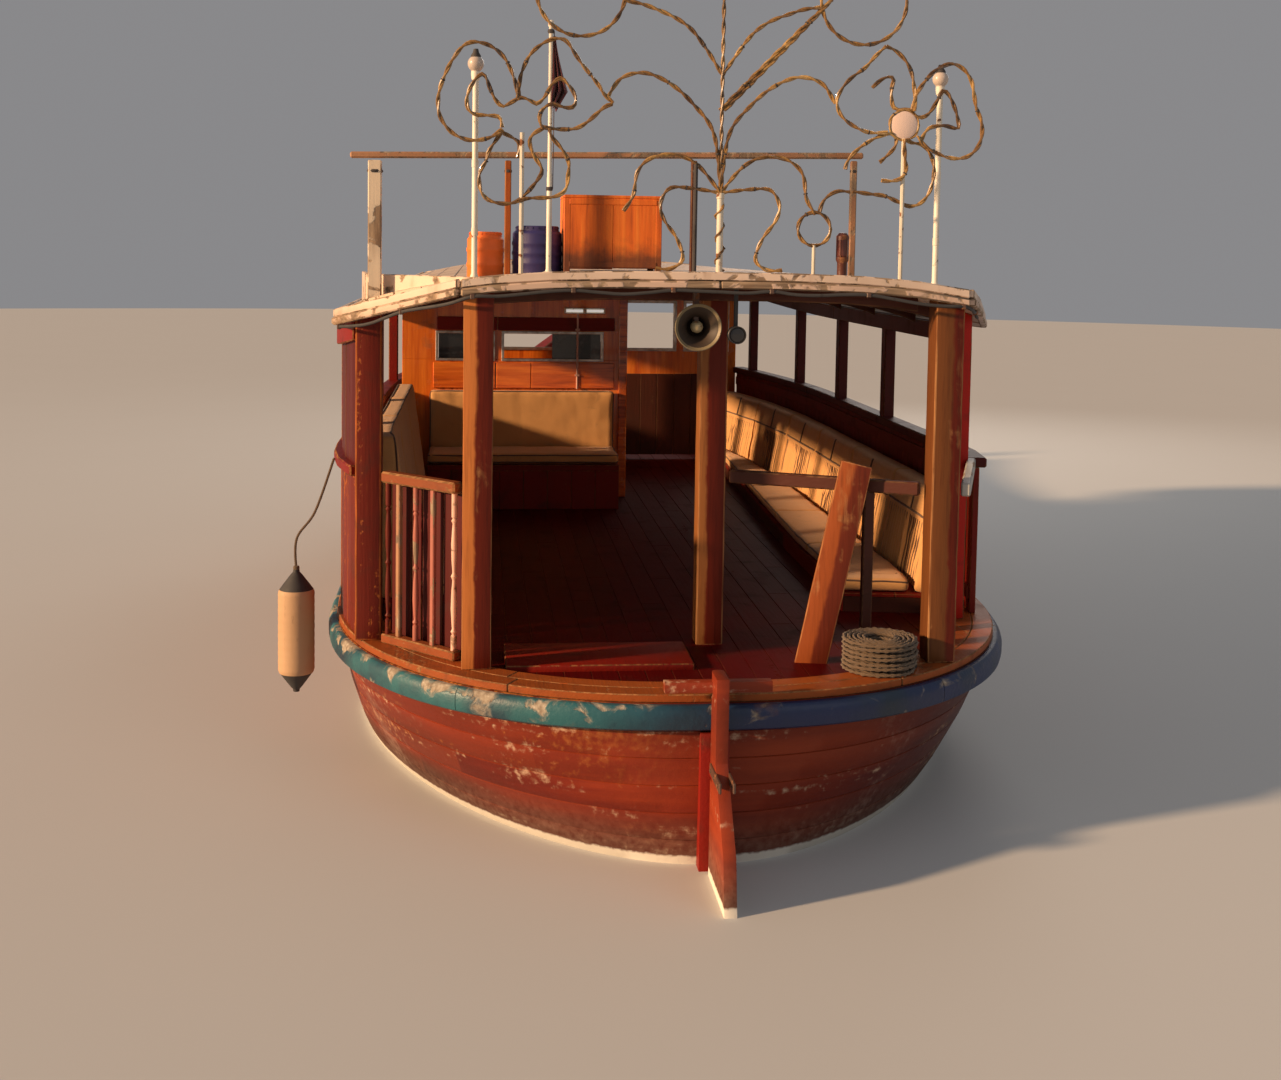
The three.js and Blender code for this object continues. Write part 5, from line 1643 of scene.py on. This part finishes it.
# Each flower's left edge, top and unit, the middle of its heart, and its rods as knots across and down
FLOWERS = {
    "port": ((-1.402, 4.245, 0.000928), (497, 640), (
        (470, 530, 455, 440, 405, 330, 330, 262, 240, 240, 175, 265, 125, 330, 85, 410, 55, 490, 45, 570,
         55, 640, 90, 695, 135, 735, 200, 762, 265, 762, 335, 742, 390, 700),
        (470, 535, 430, 560, 390, 578, 350, 540, 320, 480, 300, 425, 278, 408, 245, 435, 212, 490, 198, 550,
         208, 600, 245, 625, 310, 628, 365, 632, 385, 655, 388, 690),
        (478, 520, 482, 430, 500, 370, 530, 305, 575, 255, 640, 215, 700, 205, 740, 225, 780, 285, 820, 340,
         870, 400, 915, 455, 935, 490, 965, 520, 992, 545, 950, 562, 905, 600, 850, 650, 790, 685, 720, 692,
         640, 688, 600, 680),
        (470, 535, 500, 530, 540, 545, 575, 560, 615, 525, 655, 455, 700, 420, 740, 450, 775, 500, 785, 545,
         765, 575, 720, 575, 655, 560, 610, 585, 590, 620, 592, 660, 610, 690),
        (395, 705, 350, 770, 318, 820, 305, 870, 272, 930, 268, 985, 280, 1040, 315, 1080, 370, 1098, 430,
         1100, 480, 1082, 530, 1035, 575, 980, 605, 930, 600, 895, 570, 850, 545, 800, 538, 755, 560, 720,
         610, 690),
        (395, 720, 440, 740, 482, 772, 478, 820, 474, 850),
        (640, 690, 660, 740, 700, 785, 735, 835, 752, 885, 748, 940, 742, 1000, 715, 1040, 660, 1062, 600,
         1066, 530, 1070, 480, 1084),
    )),
    "starboard": ((0.102, 4.293, 0.000896), (1030, 700), (
        (910, 255, 850, 311, 790, 380, 700, 450, 650, 515, 628, 570, 645, 640, 700, 695, 790, 740, 870, 750,
         930, 745),
        (910, 255, 970, 280, 1030, 335, 1065, 400, 1082, 480, 1088, 540, 1075, 610),
        (840, 490, 890, 445, 940, 425, 965, 440, 955, 490, 955, 550, 975, 605, 1060, 612, 1095, 640),
        (1085, 620, 1090, 540, 1120, 480, 1180, 405, 1240, 362, 1305, 345, 1370, 375, 1415, 435, 1432, 500,
         1450, 590, 1480, 660, 1490, 720, 1480, 790, 1440, 850, 1380, 882, 1300, 882, 1220, 855, 1150, 815,
         1105, 760),
        (1090, 640, 1130, 655, 1180, 625, 1225, 550, 1250, 500, 1285, 515, 1320, 580, 1345, 650, 1350, 712,
         1270, 698, 1190, 708, 1155, 740, 1130, 790),
        (1045, 780, 1085, 800, 1145, 810, 1195, 865, 1218, 940, 1212, 1020, 1190, 1090, 1145, 1145, 1080,
         1165, 1010, 1140, 930, 1108, 840, 1098, 740, 1085),
        (1030, 780, 1035, 880, 1045, 950, 1025, 1000, 970, 1022, 900, 1020),
        (985, 770, 940, 752, 870, 775, 800, 815, 740, 865, 700, 920, 690, 960),
        (990, 770, 985, 820, 945, 870, 895, 915),
    )),
}
FRONDS = (
    ((0, 0.02), (0.04, 0.3), (0.15, 0.45), (0.27, 0.55), (0.4, 0.6), (0.52, 0.57), (0.59, 0.47)),
    ((0, 0), (0.12, 0.14), (0.24, 0.19), (0.36, 0.17), (0.43, 0.1), (0.45, -0.02), (0.5, -0.1)),
    ((0, 0.6), (0.17, 0.83), (0.37, 0.93), (0.51, 0.96)),
    ((0, 0), (0.14, 0.02), (0.26, 0.02), (0.31, -0.06), (0.29, -0.14), (0.22, -0.24), (0.19, -0.34),
     (0.25, -0.392), (0.33, -0.392)),
)


def smooth_line(points, pace, closed=False):
    """Even points along a smooth curve through the given ones."""
    points = [Vector(point) for point in points]
    last = len(points)
    fine = []
    for i in range(last if closed else last - 1):
        around = (i - 1, i, i + 1, i + 2)
        a, b, c, d = (points[k % last if closed else max(0, min(last - 1, k))] for k in around)
        for k in range(12):
            t = k / 12
            fine.append(0.5 * (2 * b + (c - a) * t + (2 * a - 5 * b + 4 * c - d) * t * t
                               + (3 * b - a - 3 * c + d) * t ** 3))
    fine.append(points[0].copy() if closed else points[-1].copy())
    run = Run(fine)
    count = max(3, round(run.length / pace))
    return [run.at(run.length * i / count)[0] for i in range(count + (0 if closed else 1))]


def vine(bm, points, radius=0.012, closed=False, phase=0.0):
    """Two rope lights wound round each other along a bent rod, tied here and there."""
    line = smooth_line(points, 0.02, closed)
    wind(bm, line, radius * 0.56, radius * 0.44, 0.17, (0, 1), phase, closed)
    tie = hoop(radius * 0.96, radius * 1.02, radius * 0.8, 0.004)
    for i in range(9, len(line) - 4, 23):
        turned(bm, tie, facing(line[i], line[i + 1] - line[i]), 8, 2)


def light_ring(across, up, y, radius, count):
    """Points of an upright circle of rope light."""
    return [Vector((across + a, y, up + b)) for a, b in circle(radius, count)]


def flower(name):
    bm = fresh()
    (left, top, unit), middle, curves = FLOWERS[name]

    def at(across, down, y=AFT_PLANE):
        return Vector((left + across * unit, y, top - down * unit))
    for row, knots in enumerate(curves):
        y = AFT_PLANE + 0.012 * (row % 3 - 1)
        vine(bm, [at(*knot, y) for knot in zip(knots[::2], knots[1::2])], phase=row * 1.3)
    heart = at(*middle)
    if name == "starboard":
        vine(bm, light_ring(heart.x, heart.z, heart.y, 0.077, 24), 0.009, True)
        turned(bm, ((0, -0.008), (0.062, -0.008), (0.071, -0.004), (0.071, 0.004), (0.062, 0.008), (0, 0.01)),
               lain(heart, "X", 1), 28, 4)
    foot = roof_top(abs(heart.x) + 0.03)
    pipe(bm, [(heart.x, AFT_PLANE, foot), heart - Z * 0.07], 0.0115, paint=3, smooth=0)
    disc = plastic("heart_disc", (0.66, 0.50, 0.42))
    settle("flower_" + name, bm, [rope_light(), rope_light("rope_light_dull"), tie_tape(), bare_pipe(), disc],
           "figure_" + name)


def palm():
    bm = fresh()
    x, y, heart = 0.08, -5.715, 3.3

    def at(side, out, up):
        return Vector((x + side * out, y, heart + up))
    vine(bm, [at(1, 0, up) for up in (-0.03, 0.5, 1.0, 1.4)])
    for side in SIDES.values():
        for row, knots in enumerate(FRONDS):
            vine(bm, [at(side, *knot) for knot in knots], phase=row + side)
        vine(bm, [at(side, 0.73 + a, 1.0 + b) for a, b in circle(0.225, 20)], closed=True)
    foot = roof_top(0.11)
    turned(bm, solid((0.0175, foot), (0.0175, heart - 0.03), (0.021, heart - 0.028), (0.021, heart)),
        (x, y, 0), 14, 3)
    trunk = [(0.026 * cos(2.2 * i), 0.026 * sin(2.2 * i), foot + 0.02 + 0.04 * i)
             for i in range(int((heart - foot) / 0.04))]
    vine(bm, [(x + a, y + b, z) for a, b, z in trunk], 0.008)
    pipe(bm, [(x - 0.13, y, roof_top(0.28)), at(-1, 0.13, 0.145)], 0.0115, paint=2, smooth=0)
    for side in (-1, 1):
        vine(bm, [at(1, 0.012 * side, 0.42), at(1, 0.28, 0.71 - 0.012 * side), at(1, 0.56, 1.0)], phase=side)
    stalk = ((0.76, 3.318), (0.7, 3.322), (0.65, 3.3), (0.615, 3.26), (0.6, 3.21))
    vine(bm, [(across, y, up) for across, up in stalk])
    vine(bm, light_ring(0.575, 3.124, y, 0.086, 18), closed=True)
    pipe(bm, [(0.575, y, 3.04), (0.575, y, roof_top(0.59))], 0.0095, paint=3, smooth=0)
    settle("palm", bm, [rope_light(), rope_light("rope_light_dull"), tie_tape(), bare_pipe()], "figure_palm")


class DHOW_OT_figures(bpy.types.Operator):
    """Flowers and palm of rope light on bent rods, along the roof's aft edge"""
    bl_idname = "dhow.figures"
    bl_label = "Rope-light figures"

    def execute(self, context):
        for name in SIDES:
            flower(name)
        palm()
        return {"FINISHED"}


# Roof gear

# Each drum's place, radius, height, the shares of its height where its ribs lie, and its colour
DRUMS = {
    "orange": (-1.115, -5.0, 0.105, 0.26, (0.3, 0.62), (0.95, 0.16, 0.012)),
    "blue": (-0.83, -5.0, 0.14, 0.27, (0.24, 0.44, 0.64), (0.012, 0.008, 0.10)),
}


def drum(name):
    """A moulded drum with rolled ribs, a chime and a screw lid."""
    x, y, radius, height, ribs, color = DRUMS[name]
    bm = fresh()
    foot = roof_under(x + copysign(radius, x)) + POST_FOOT
    wall = radius - 0.004
    profile = [(0, 0), (wall - 0.01, 0), (wall, 0.008)]
    for z in (rib * height for rib in ribs):
        profile += [(wall, z - 0.014), (radius, z - 0.006), (radius, z + 0.006), (wall, z + 0.014)]
    profile += [(wall, height * 0.84), (wall - 0.008, height * 0.88)]
    lid = ((0.86, 0.9), (0.86, 0.93), (0.84, 0.93), (0.84, 0.985), (0.8, 1.0), (0.3, 1.0), (0.28, 0.985),
           (0, 0.985))
    turned(bm, profile + [(radius * r, height * z) for r, z in lid], (x, y, foot), 32)
    for a, b in circle(1.0, 24):
        out = Vector((a, b, 0))
        at = Vector((x, y, foot + height * 0.957)) + out * radius * 0.842
        timber(bm, at - Z * height * 0.02, at + Z * height * 0.02, 0.006, 0.006, up=out, soft=0.0)
    settle("barrel_" + name, bm, plastic(name + "_plastic", color), "drum_" + name)


def locker():
    low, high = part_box("locker")
    bm = fresh()
    x0, x1, y0, y1 = low.x, high.x, low.y, high.y
    across, along = (x0 + x1) / 2, (y0 + y1) / 2
    floor, top = roof_top(x0), high.z - 0.018
    for y in (y0 + 0.009, y1 - 0.009):
        for a, b in ((x0 + 0.02, across - 0.001), (across + 0.001, x1 - 0.02)):
            foot = min(roof_under(a), roof_under(b)) + 0.085
            upright(bm, (a + b) / 2, y, foot, top, b - a, 0.014, soft=0.002)
    for x in (x0 + 0.009, x1 - 0.009):
        timber(bm, (x, along, floor + 0.02), (x, along, top), y1 - y0 - 0.03, 0.014, up=X, soft=0.002)
    for x in (x0 + 0.018, x1 - 0.018):
        for y in (y0 + 0.018, y1 - 0.018):
            upright(bm, x, y, roof_top(x), top, 0.034, soft=0.003)
    level_bar(bm, x0, x1, along, high.z - 0.01, y1 - y0, 0.018)
    for z in (top - 0.02, floor + 0.045):
        level_bar(bm, x0 + 0.03, x1 - 0.03, y0 + 0.0012, z, 0.006, 0.03, soft=0.002)
    settle("locker_box", bm, plywood(), "locker")


def awning():
    """A rail on four posts, each tied to it."""
    bm = fresh()
    timber(bm, (-1.83, -5.3, 3.478), (0.93, -5.3, 3.533), 0.036, 0.034, soft=0.008)
    for x, width, paint in ((-1.7, 0.07, 1), (-1.0, 0.034, 3), (0, 0.032, 4), (0.88, 0.034, 0)):
        foot = roof_under(abs(x) + width / 2) + POST_FOOT
        upright(bm, x, -5.3, foot, 3.45 + 0.055 * (x + 1.83) / 2.76, width, soft=0.005, paint=paint)
        turned(bm, hoop(width * 0.56, width * 0.62, width * 0.5, 0.008), (x, -5.3, 3.43 + 0.02 * x), 10, 2)
    paints = [tan_paint(), cream_paint("post_paint", (0.72, 0.6, 0.45), "Z"), tie_tape(), orange("Z", 0.5),
              dark("Z")]
    settle("awning_frame", bm, paints, "awning_rail")


def raised(rings, foot):
    """A profile whose heights are counted from its foot."""
    return [(radius, foot + height) for radius, height in rings]


def lamp_pole(name, x, y=-5.6, tall=1.08):
    bm = fresh()
    foot = roof_under(abs(x) + 0.022) + POLE_FOOT
    top = foot + tall
    pole = solid((0.05, 0), (0.05, 0.012), (0.022, 0.02), (0.0155, 0.04), (0.0155, tall - 0.06),
                 (0.021, tall - 0.055), (0.024, tall - 0.03), (0.024, tall - 0.012))
    turned(bm, raised(pole, foot), (x, y, 0))
    arc = [radians(degrees) for degrees in range(-54, 90, 12)]
    globe = [(0.024, -0.014), *((0.042 * cos(a), 0.025 + 0.042 * sin(a)) for a in arc), (0, 0.067)]
    turned(bm, raised(globe, top), (x, y, 0), 24, 1)
    cap = ((0, 0.055), (0.026, 0.055), (0.026, 0.066), (0.016, 0.082), (0.012, 0.1), (0, 0.101))
    turned(bm, raised(cap, top), (x, y, 0), 16, 2)
    for height in (0.25, 0.6):
        turned(bm, ((0.0155, -0.02), (0.0175, -0.018), (0.0175, 0.018), (0.0155, 0.02)),
            (x, y, foot + height), 14)
    settle("lamp_" + name, bm, [white_metal(), milk_glass(), tie_tape()], "lamp_pole_" + name)


def flagstaff(foot):
    bm = fresh()
    x, y = -0.785, -5.42
    staff = ((0, 0), (0.038, 0), (0.038, 0.01), (0.018, 0.016), (0.014, 0.03), (0.014, 0.52),
             (0.0115, 0.54), (0.011, 1.29), (0.0165, 1.3), (0.015, 1.325), (0, 1.33))
    turned(bm, raised(staff, foot), (x, y, 0), 14)
    halyard = ((-0.768, -5.42, 1.27), (-0.766, -5.425, 0.8), (-0.768, -5.425, 0.45))
    pipe(bm, [(a, b, foot + z) for a, b, z in halyard], 0.0025, 6, paint=1)
    for z in (0.45, 1.27):
        turned(bm, hoop(0.016, 0.019, 0.01, 0.01), (x, y, foot + z), 10, 2)
    settle("staff", bm, [white_metal(), seam_cord(), tie_tape()], "flagstaff")


def flag(foot):
    """A small plain flag, hanging limp from its hoist."""
    bm = fresh()
    top = foot + 1.245
    for vert in bmesh.ops.create_grid(bm, x_segments=28, y_segments=24, size=0.5)["verts"]:
        u, down = vert.co.x + 0.5, 0.5 - vert.co.y
        spread = 0.012 + 0.115 * down ** 1.3 if down < 0.75 else 0.091 - 0.22 * (down - 0.75)
        fold = sin(u * 6 * pi + down)
        vert.co = Vector((-0.772 + spread * (u + 0.12 * fold * (1 - u)) - 0.016 * down,
                          -5.42 + (0.006 + 0.026 * down) * fold * min(1.0, 4 * u),
                          top - 0.34 * down - 0.05 * down * u * (1 - 0.3 * fold)))
    mark(bm, bm.faces, tint=0.5)
    piece = settle("flag", bm, flag_cloth(), (), limit=3.0)
    piece.modifiers.new("cloth", "SOLIDIFY").thickness = 0.002


def beacon():
    bm = fresh()
    x, y = 0.755, -5.6
    foot = roof_under(0.789) + POLE_FOOT
    turned(bm, solid((0.034, foot), (0.034, foot + 0.01), (0.0265, foot + 0.02), (0.0265, 2.95),
        (0.034, 2.965), (0.034, 2.98)), (x, y, 0), 20)
    turned(bm, solid((0.028, 2.98), (0.0315, 2.99), (0.0315, 3.07)), (x, y, 0), 20, 1)
    turned(bm, ((0, 3.07), (0.034, 3.07), (0.034, 3.09), (0.02, 3.107), (0, 3.11)), (x, y, 0), 20)
    for a, b in circle(0.032, 6):
        pipe(bm, [(x + a, y + b, z) for z in (2.98, 3.075)], 0.0025, 6, smooth=0)
    settle("beacon_lamp", bm, [painted_metal("beacon_metal", (0.10, 0.03, 0.02), 0.6), amber_glass()],
        "beacon")


class DHOW_OT_gear(bpy.types.Operator):
    """Roof gear: drums, locker, awning rail, lamp poles, flagstaff and beacon"""
    bl_idname = "dhow.gear"
    bl_label = "Roof gear"

    def execute(self, context):
        for name in DRUMS:
            drum(name)
        locker()
        awning()
        lamp_pole("port", -1.175)
        lamp_pole("starboard", 1.26)
        staff_foot = roof_under(0.805) + POLE_FOOT
        flagstaff(staff_foot)
        flag(staff_foot)
        beacon()
        return {"FINISHED"}


# Fittings

def horn():
    """A reflex horn that faces aft, on a bracket under the roof's edge."""
    bm = fresh()
    x, y = -0.03, -5.665
    place = lain((x, -5.77, 2.61))
    # The inner face of the bell is near black, as painted shade
    turned(bm, ((0, 0.166), (0.04, 0.166), (0.042, 0.12), (0.048, 0.09), (0.06, 0.06), (0.076, 0.035),
                (0.094, 0.0155), (0.104, 0.0085), (0.106, 0.01), (0.09, 0.03), (0.05, 0.13), (0, 0.1665)),
           place, 40, 3)
    turned(bm, solid((0.042, 0.168), (0.044, 0.12), (0.05, 0.09), (0.062, 0.06), (0.078, 0.035),
        (0.096, 0.016), (0.112, 0.004), (0.118, -0.002), (0.122, 0), (0.121, 0.006), (0.114, 0.01),
        (0.1, 0.022), (0.082, 0.042), (0.066, 0.067), (0.055, 0.095), (0.049, 0.12), (0.048, 0.17),
        (0.03, 0.172)), place, 40)
    turned(bm, ((0, 0.028), (0.014, 0.03), (0.026, 0.04), (0.032, 0.056), (0.032, 0.07), (0.026, 0.078),
                (0.02, 0.165), (0, 0.165)), place, 24, 1)
    upright(bm, x, y, 2.6, roof_under(0.06) - 0.0005, 0.03, 0.045, paint=2)
    for side in (-1, 1):
        bolt(bm, (x + side * 0.017, y, 2.66), (side, 0, 0), 0.009, 2)
    plug = painted_metal("horn_plug", (0.34, 0.28, 0.16), 0.3)
    settle("horn_bell", bm, [horn_paint(), plug, old_iron(), horn_throat()], "horn")


def floodlight():
    bm = fresh()
    x, y, z = 0.17, -5.75, 2.573
    place = lain((x, y, z))
    turned(bm, ((0, 0.035), (0.03, 0.034), (0.04, 0.02), (0.043, 0), (0.043, -0.03), (0.046, -0.034),
                (0.046, -0.045), (0.041, -0.045), (0.04, -0.036), (0, -0.036)), place, 28)
    turned(bm, ((0, -0.037), (0.039, -0.037), (0.036, -0.04), (0, -0.041)), place, 24, 1)
    for i in range(7):
        middle = -0.02 + i * 0.007
        turned(bm, ((0.043, middle - 0.002), (0.0455, middle), (0.043, middle + 0.002)), place, 24)
    upright(bm, x, y + 0.02, z, roof_under(x + 0.012) - 0.0005, 0.022, 0.012, soft=0.003)
    settle("flood_lamp", bm, [painted_metal("black_metal", (0.02, 0.02, 0.022), 0.15), smoked_glass()],
           "floodlight")


def fender():
    """A ribbed float between two cones, hung by a cord from the covering board."""
    bm = fresh()
    x, y = -2.19, -4.6
    turned(bm, solid((0.018, 0.4), (0.02, 0.415), (0.034, 0.43), (0.075, 0.485), (0.097, 0.516),
        (0.0985, 0.52)), (x, y, 0), 28, 1)
    turned(bm, solid((0.0985, 1.0), (0.097, 1.004), (0.075, 1.035), (0.034, 1.09), (0.02, 1.105),
        (0.018, 1.12)), (x, y, 0), 28, 1)
    ribs = [ring for z in (0.56 + i * 0.05 for i in range(9))
            for ring in ((0.105, z - 0.018), (0.1035, z), (0.105, z + 0.018))]
    body = solid((0.098, 0.515), (0.1035, 0.53), *ribs, (0.1035, 0.99), (0.098, 1.005))
    turned(bm, body, (x, y, 0), 32)
    hook = -(deck_half(y) - 0.04 + 0.0694)
    line = [(x, y, 1.105), (x + 0.002, y, 1.3), ((x + hook) / 2, y - 0.004, 1.46), (hook, y, 1.77)]
    wind(bm, smooth_line(line, 0.006), 0.0042, 0.0042, 0.035, (2, 2, 2))
    knot = ((0, -0.016), (0.016, -0.012), (0.019, 0), (0.016, 0.012), (0, 0.016))
    turned(bm, knot, (x, y, 1.128), 12, 2)
    settle("fender_float", bm, [fender_skin(), rubber(), rope_fibre()], "fender")


def leaning_plank():
    low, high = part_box("leaning_plank")
    lean = (high.x - low.x - 0.165) / (high.z - low.z)
    # The plank's varnish carries painted sunlight on its port part and painted shade on the rest
    paint = sunlit_shaded_post("plank_painted_light", low.x + 0.08 - low.z * lean, lean, (0.27, 0.065, 0.016),
                        (0.12, 0.02, 0.008))
    dress("leaning_plank", paint, 0.006, rough=0.003)


def hatch(count=6):
    dress("hatch_coaming", red("Y"), 0.006)
    low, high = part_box("hatch_lid")
    bm = fresh()
    width = (high.x - low.x) / count
    for i in range(count):
        x, z = low.x + (i + 0.5) * width, low.z + 0.0145
        timber(bm, (x, low.y, z), (x, high.y, z), width - 0.002, 0.028, soft=0.003)
    for y in (low.y + 0.09, (low.y + high.y) / 2, high.y - 0.09):
        level_bar(bm, low.x + 0.01, high.x - 0.01, y, high.z - 0.009, 0.07, 0.017)
    settle("lid", bm, orange("Y", 0.6), "hatch_lid", "hatch_lid")


def bitts():
    bm = fresh()
    y, foot = 4.95, DECK + rise(4.95)
    for x in (-0.16, 0.16):
        upright(bm, x, y, foot + 0.0005, foot + 0.5, 0.108, soft=0.012)
        turned(bm, ((0, 0), (0.054, 0), (0.05, 0.02), (0.03, 0.036), (0, 0.04)), (x, y, foot + 0.499))
    bar = solid((0.04, -0.33), (0.043, -0.32), (0.037, -0.24), (0.037, 0.24), (0.043, 0.32), (0.04, 0.33))
    turned(bm, bar, lain((0, y, foot + 0.36), "Y", 1))
    settle("bitts", bm, orange("Z", 0.6), "bow_bitts")


def propeller():
    """Three pitched blades on a hub, and the shaft."""
    bm = fresh()
    place = lain((0, -5.905, -0.6))
    turned(bm, solid((0.04, -0.075), (0.048, -0.06), (0.055, -0.02), (0.058, 0.05), (0.05, 0.075)), place, 24)
    for i in range(3):
        grid = bmesh.ops.create_grid(bm, x_segments=10, y_segments=12, size=0.5)["verts"]
        turn = place @ Matrix.Rotation(i * tau / 3, 4, "Z")
        for vert in grid:
            u, v = vert.co.x * 2, vert.co.y + 0.5
            out = 0.045 + 0.168 * v
            half = 0.068 * sin(pi * min(0.97, 0.2 + 0.78 * v)) ** 0.5
            pitch = 0.95 - 0.5 * v
            sweep_by = u * half / out * cos(pitch)
            vert.co = turn @ Vector((out * cos(sweep_by), out * sin(sweep_by), u * half * sin(pitch)))
        bmesh.ops.solidify(bm, geom=list({face for vert in grid for face in vert.link_faces}),
            thickness=0.008)
    pipe(bm, [(0, -5.86, -0.6), (0, -5.6615, -0.6)], 0.0235, 14, paint=1, smooth=0)
    settle("screw", bm, [bronze(), painted_metal("shaft_steel", (0.4, 0.4, 0.38), 0.2, 0.3)], "propeller",
           "propeller")


class DHOW_OT_fittings(bpy.types.Operator):
    """Horn, floodlight, fender, leaning plank, foredeck fittings and propeller"""
    bl_idname = "dhow.fittings"
    bl_label = "Fittings"

    def execute(self, context):
        horn()
        floodlight()
        fender()
        leaning_plank()
        hatch()
        bitts()
        propeller()
        return {"FINISHED"}


STEPS = ("stage", "rope", "hull", "house", "roof", "saloon", "bulkhead", "figures", "gear", "fittings")


class DHOW_PT_panel(bpy.types.Panel):
    bl_label = "Passenger Dhow"
    bl_idname = "DHOW_PT_panel"
    bl_space_type = "VIEW_3D"
    bl_region_type = "UI"
    bl_category = "Dhow"

    def draw(self, context):
        for step in STEPS:
            self.layout.operator("dhow." + step)
        for name in GROUPS:
            group = getattr(context.scene, name)
            for size in group.__annotations__:
                self.layout.prop(group, size)


GROUPS = {"dhow_stage": DhowStage, "dhow_rope": DhowRope, "dhow_hull": DhowHull, "dhow_house": DhowHouse}
CLASSES = (*GROUPS.values(), DHOW_OT_stage, DHOW_OT_rope, DHOW_OT_hull, DHOW_OT_house, DHOW_OT_roof,
           DHOW_OT_saloon, DHOW_OT_bulkhead, DHOW_OT_figures, DHOW_OT_gear, DHOW_OT_fittings, DHOW_PT_panel)


def register():
    for item in CLASSES:
        bpy.utils.register_class(item)
    for name, group in GROUPS.items():
        setattr(bpy.types.Scene, name, bpy.props.PointerProperty(type=group))


def unregister():
    for name in GROUPS:
        delattr(bpy.types.Scene, name)
    for item in reversed(CLASSES):
        bpy.utils.unregister_class(item)


def main():
    register()
    for step in STEPS:
        getattr(bpy.ops.dhow, step)()


if __name__ == "__main__":
    main()
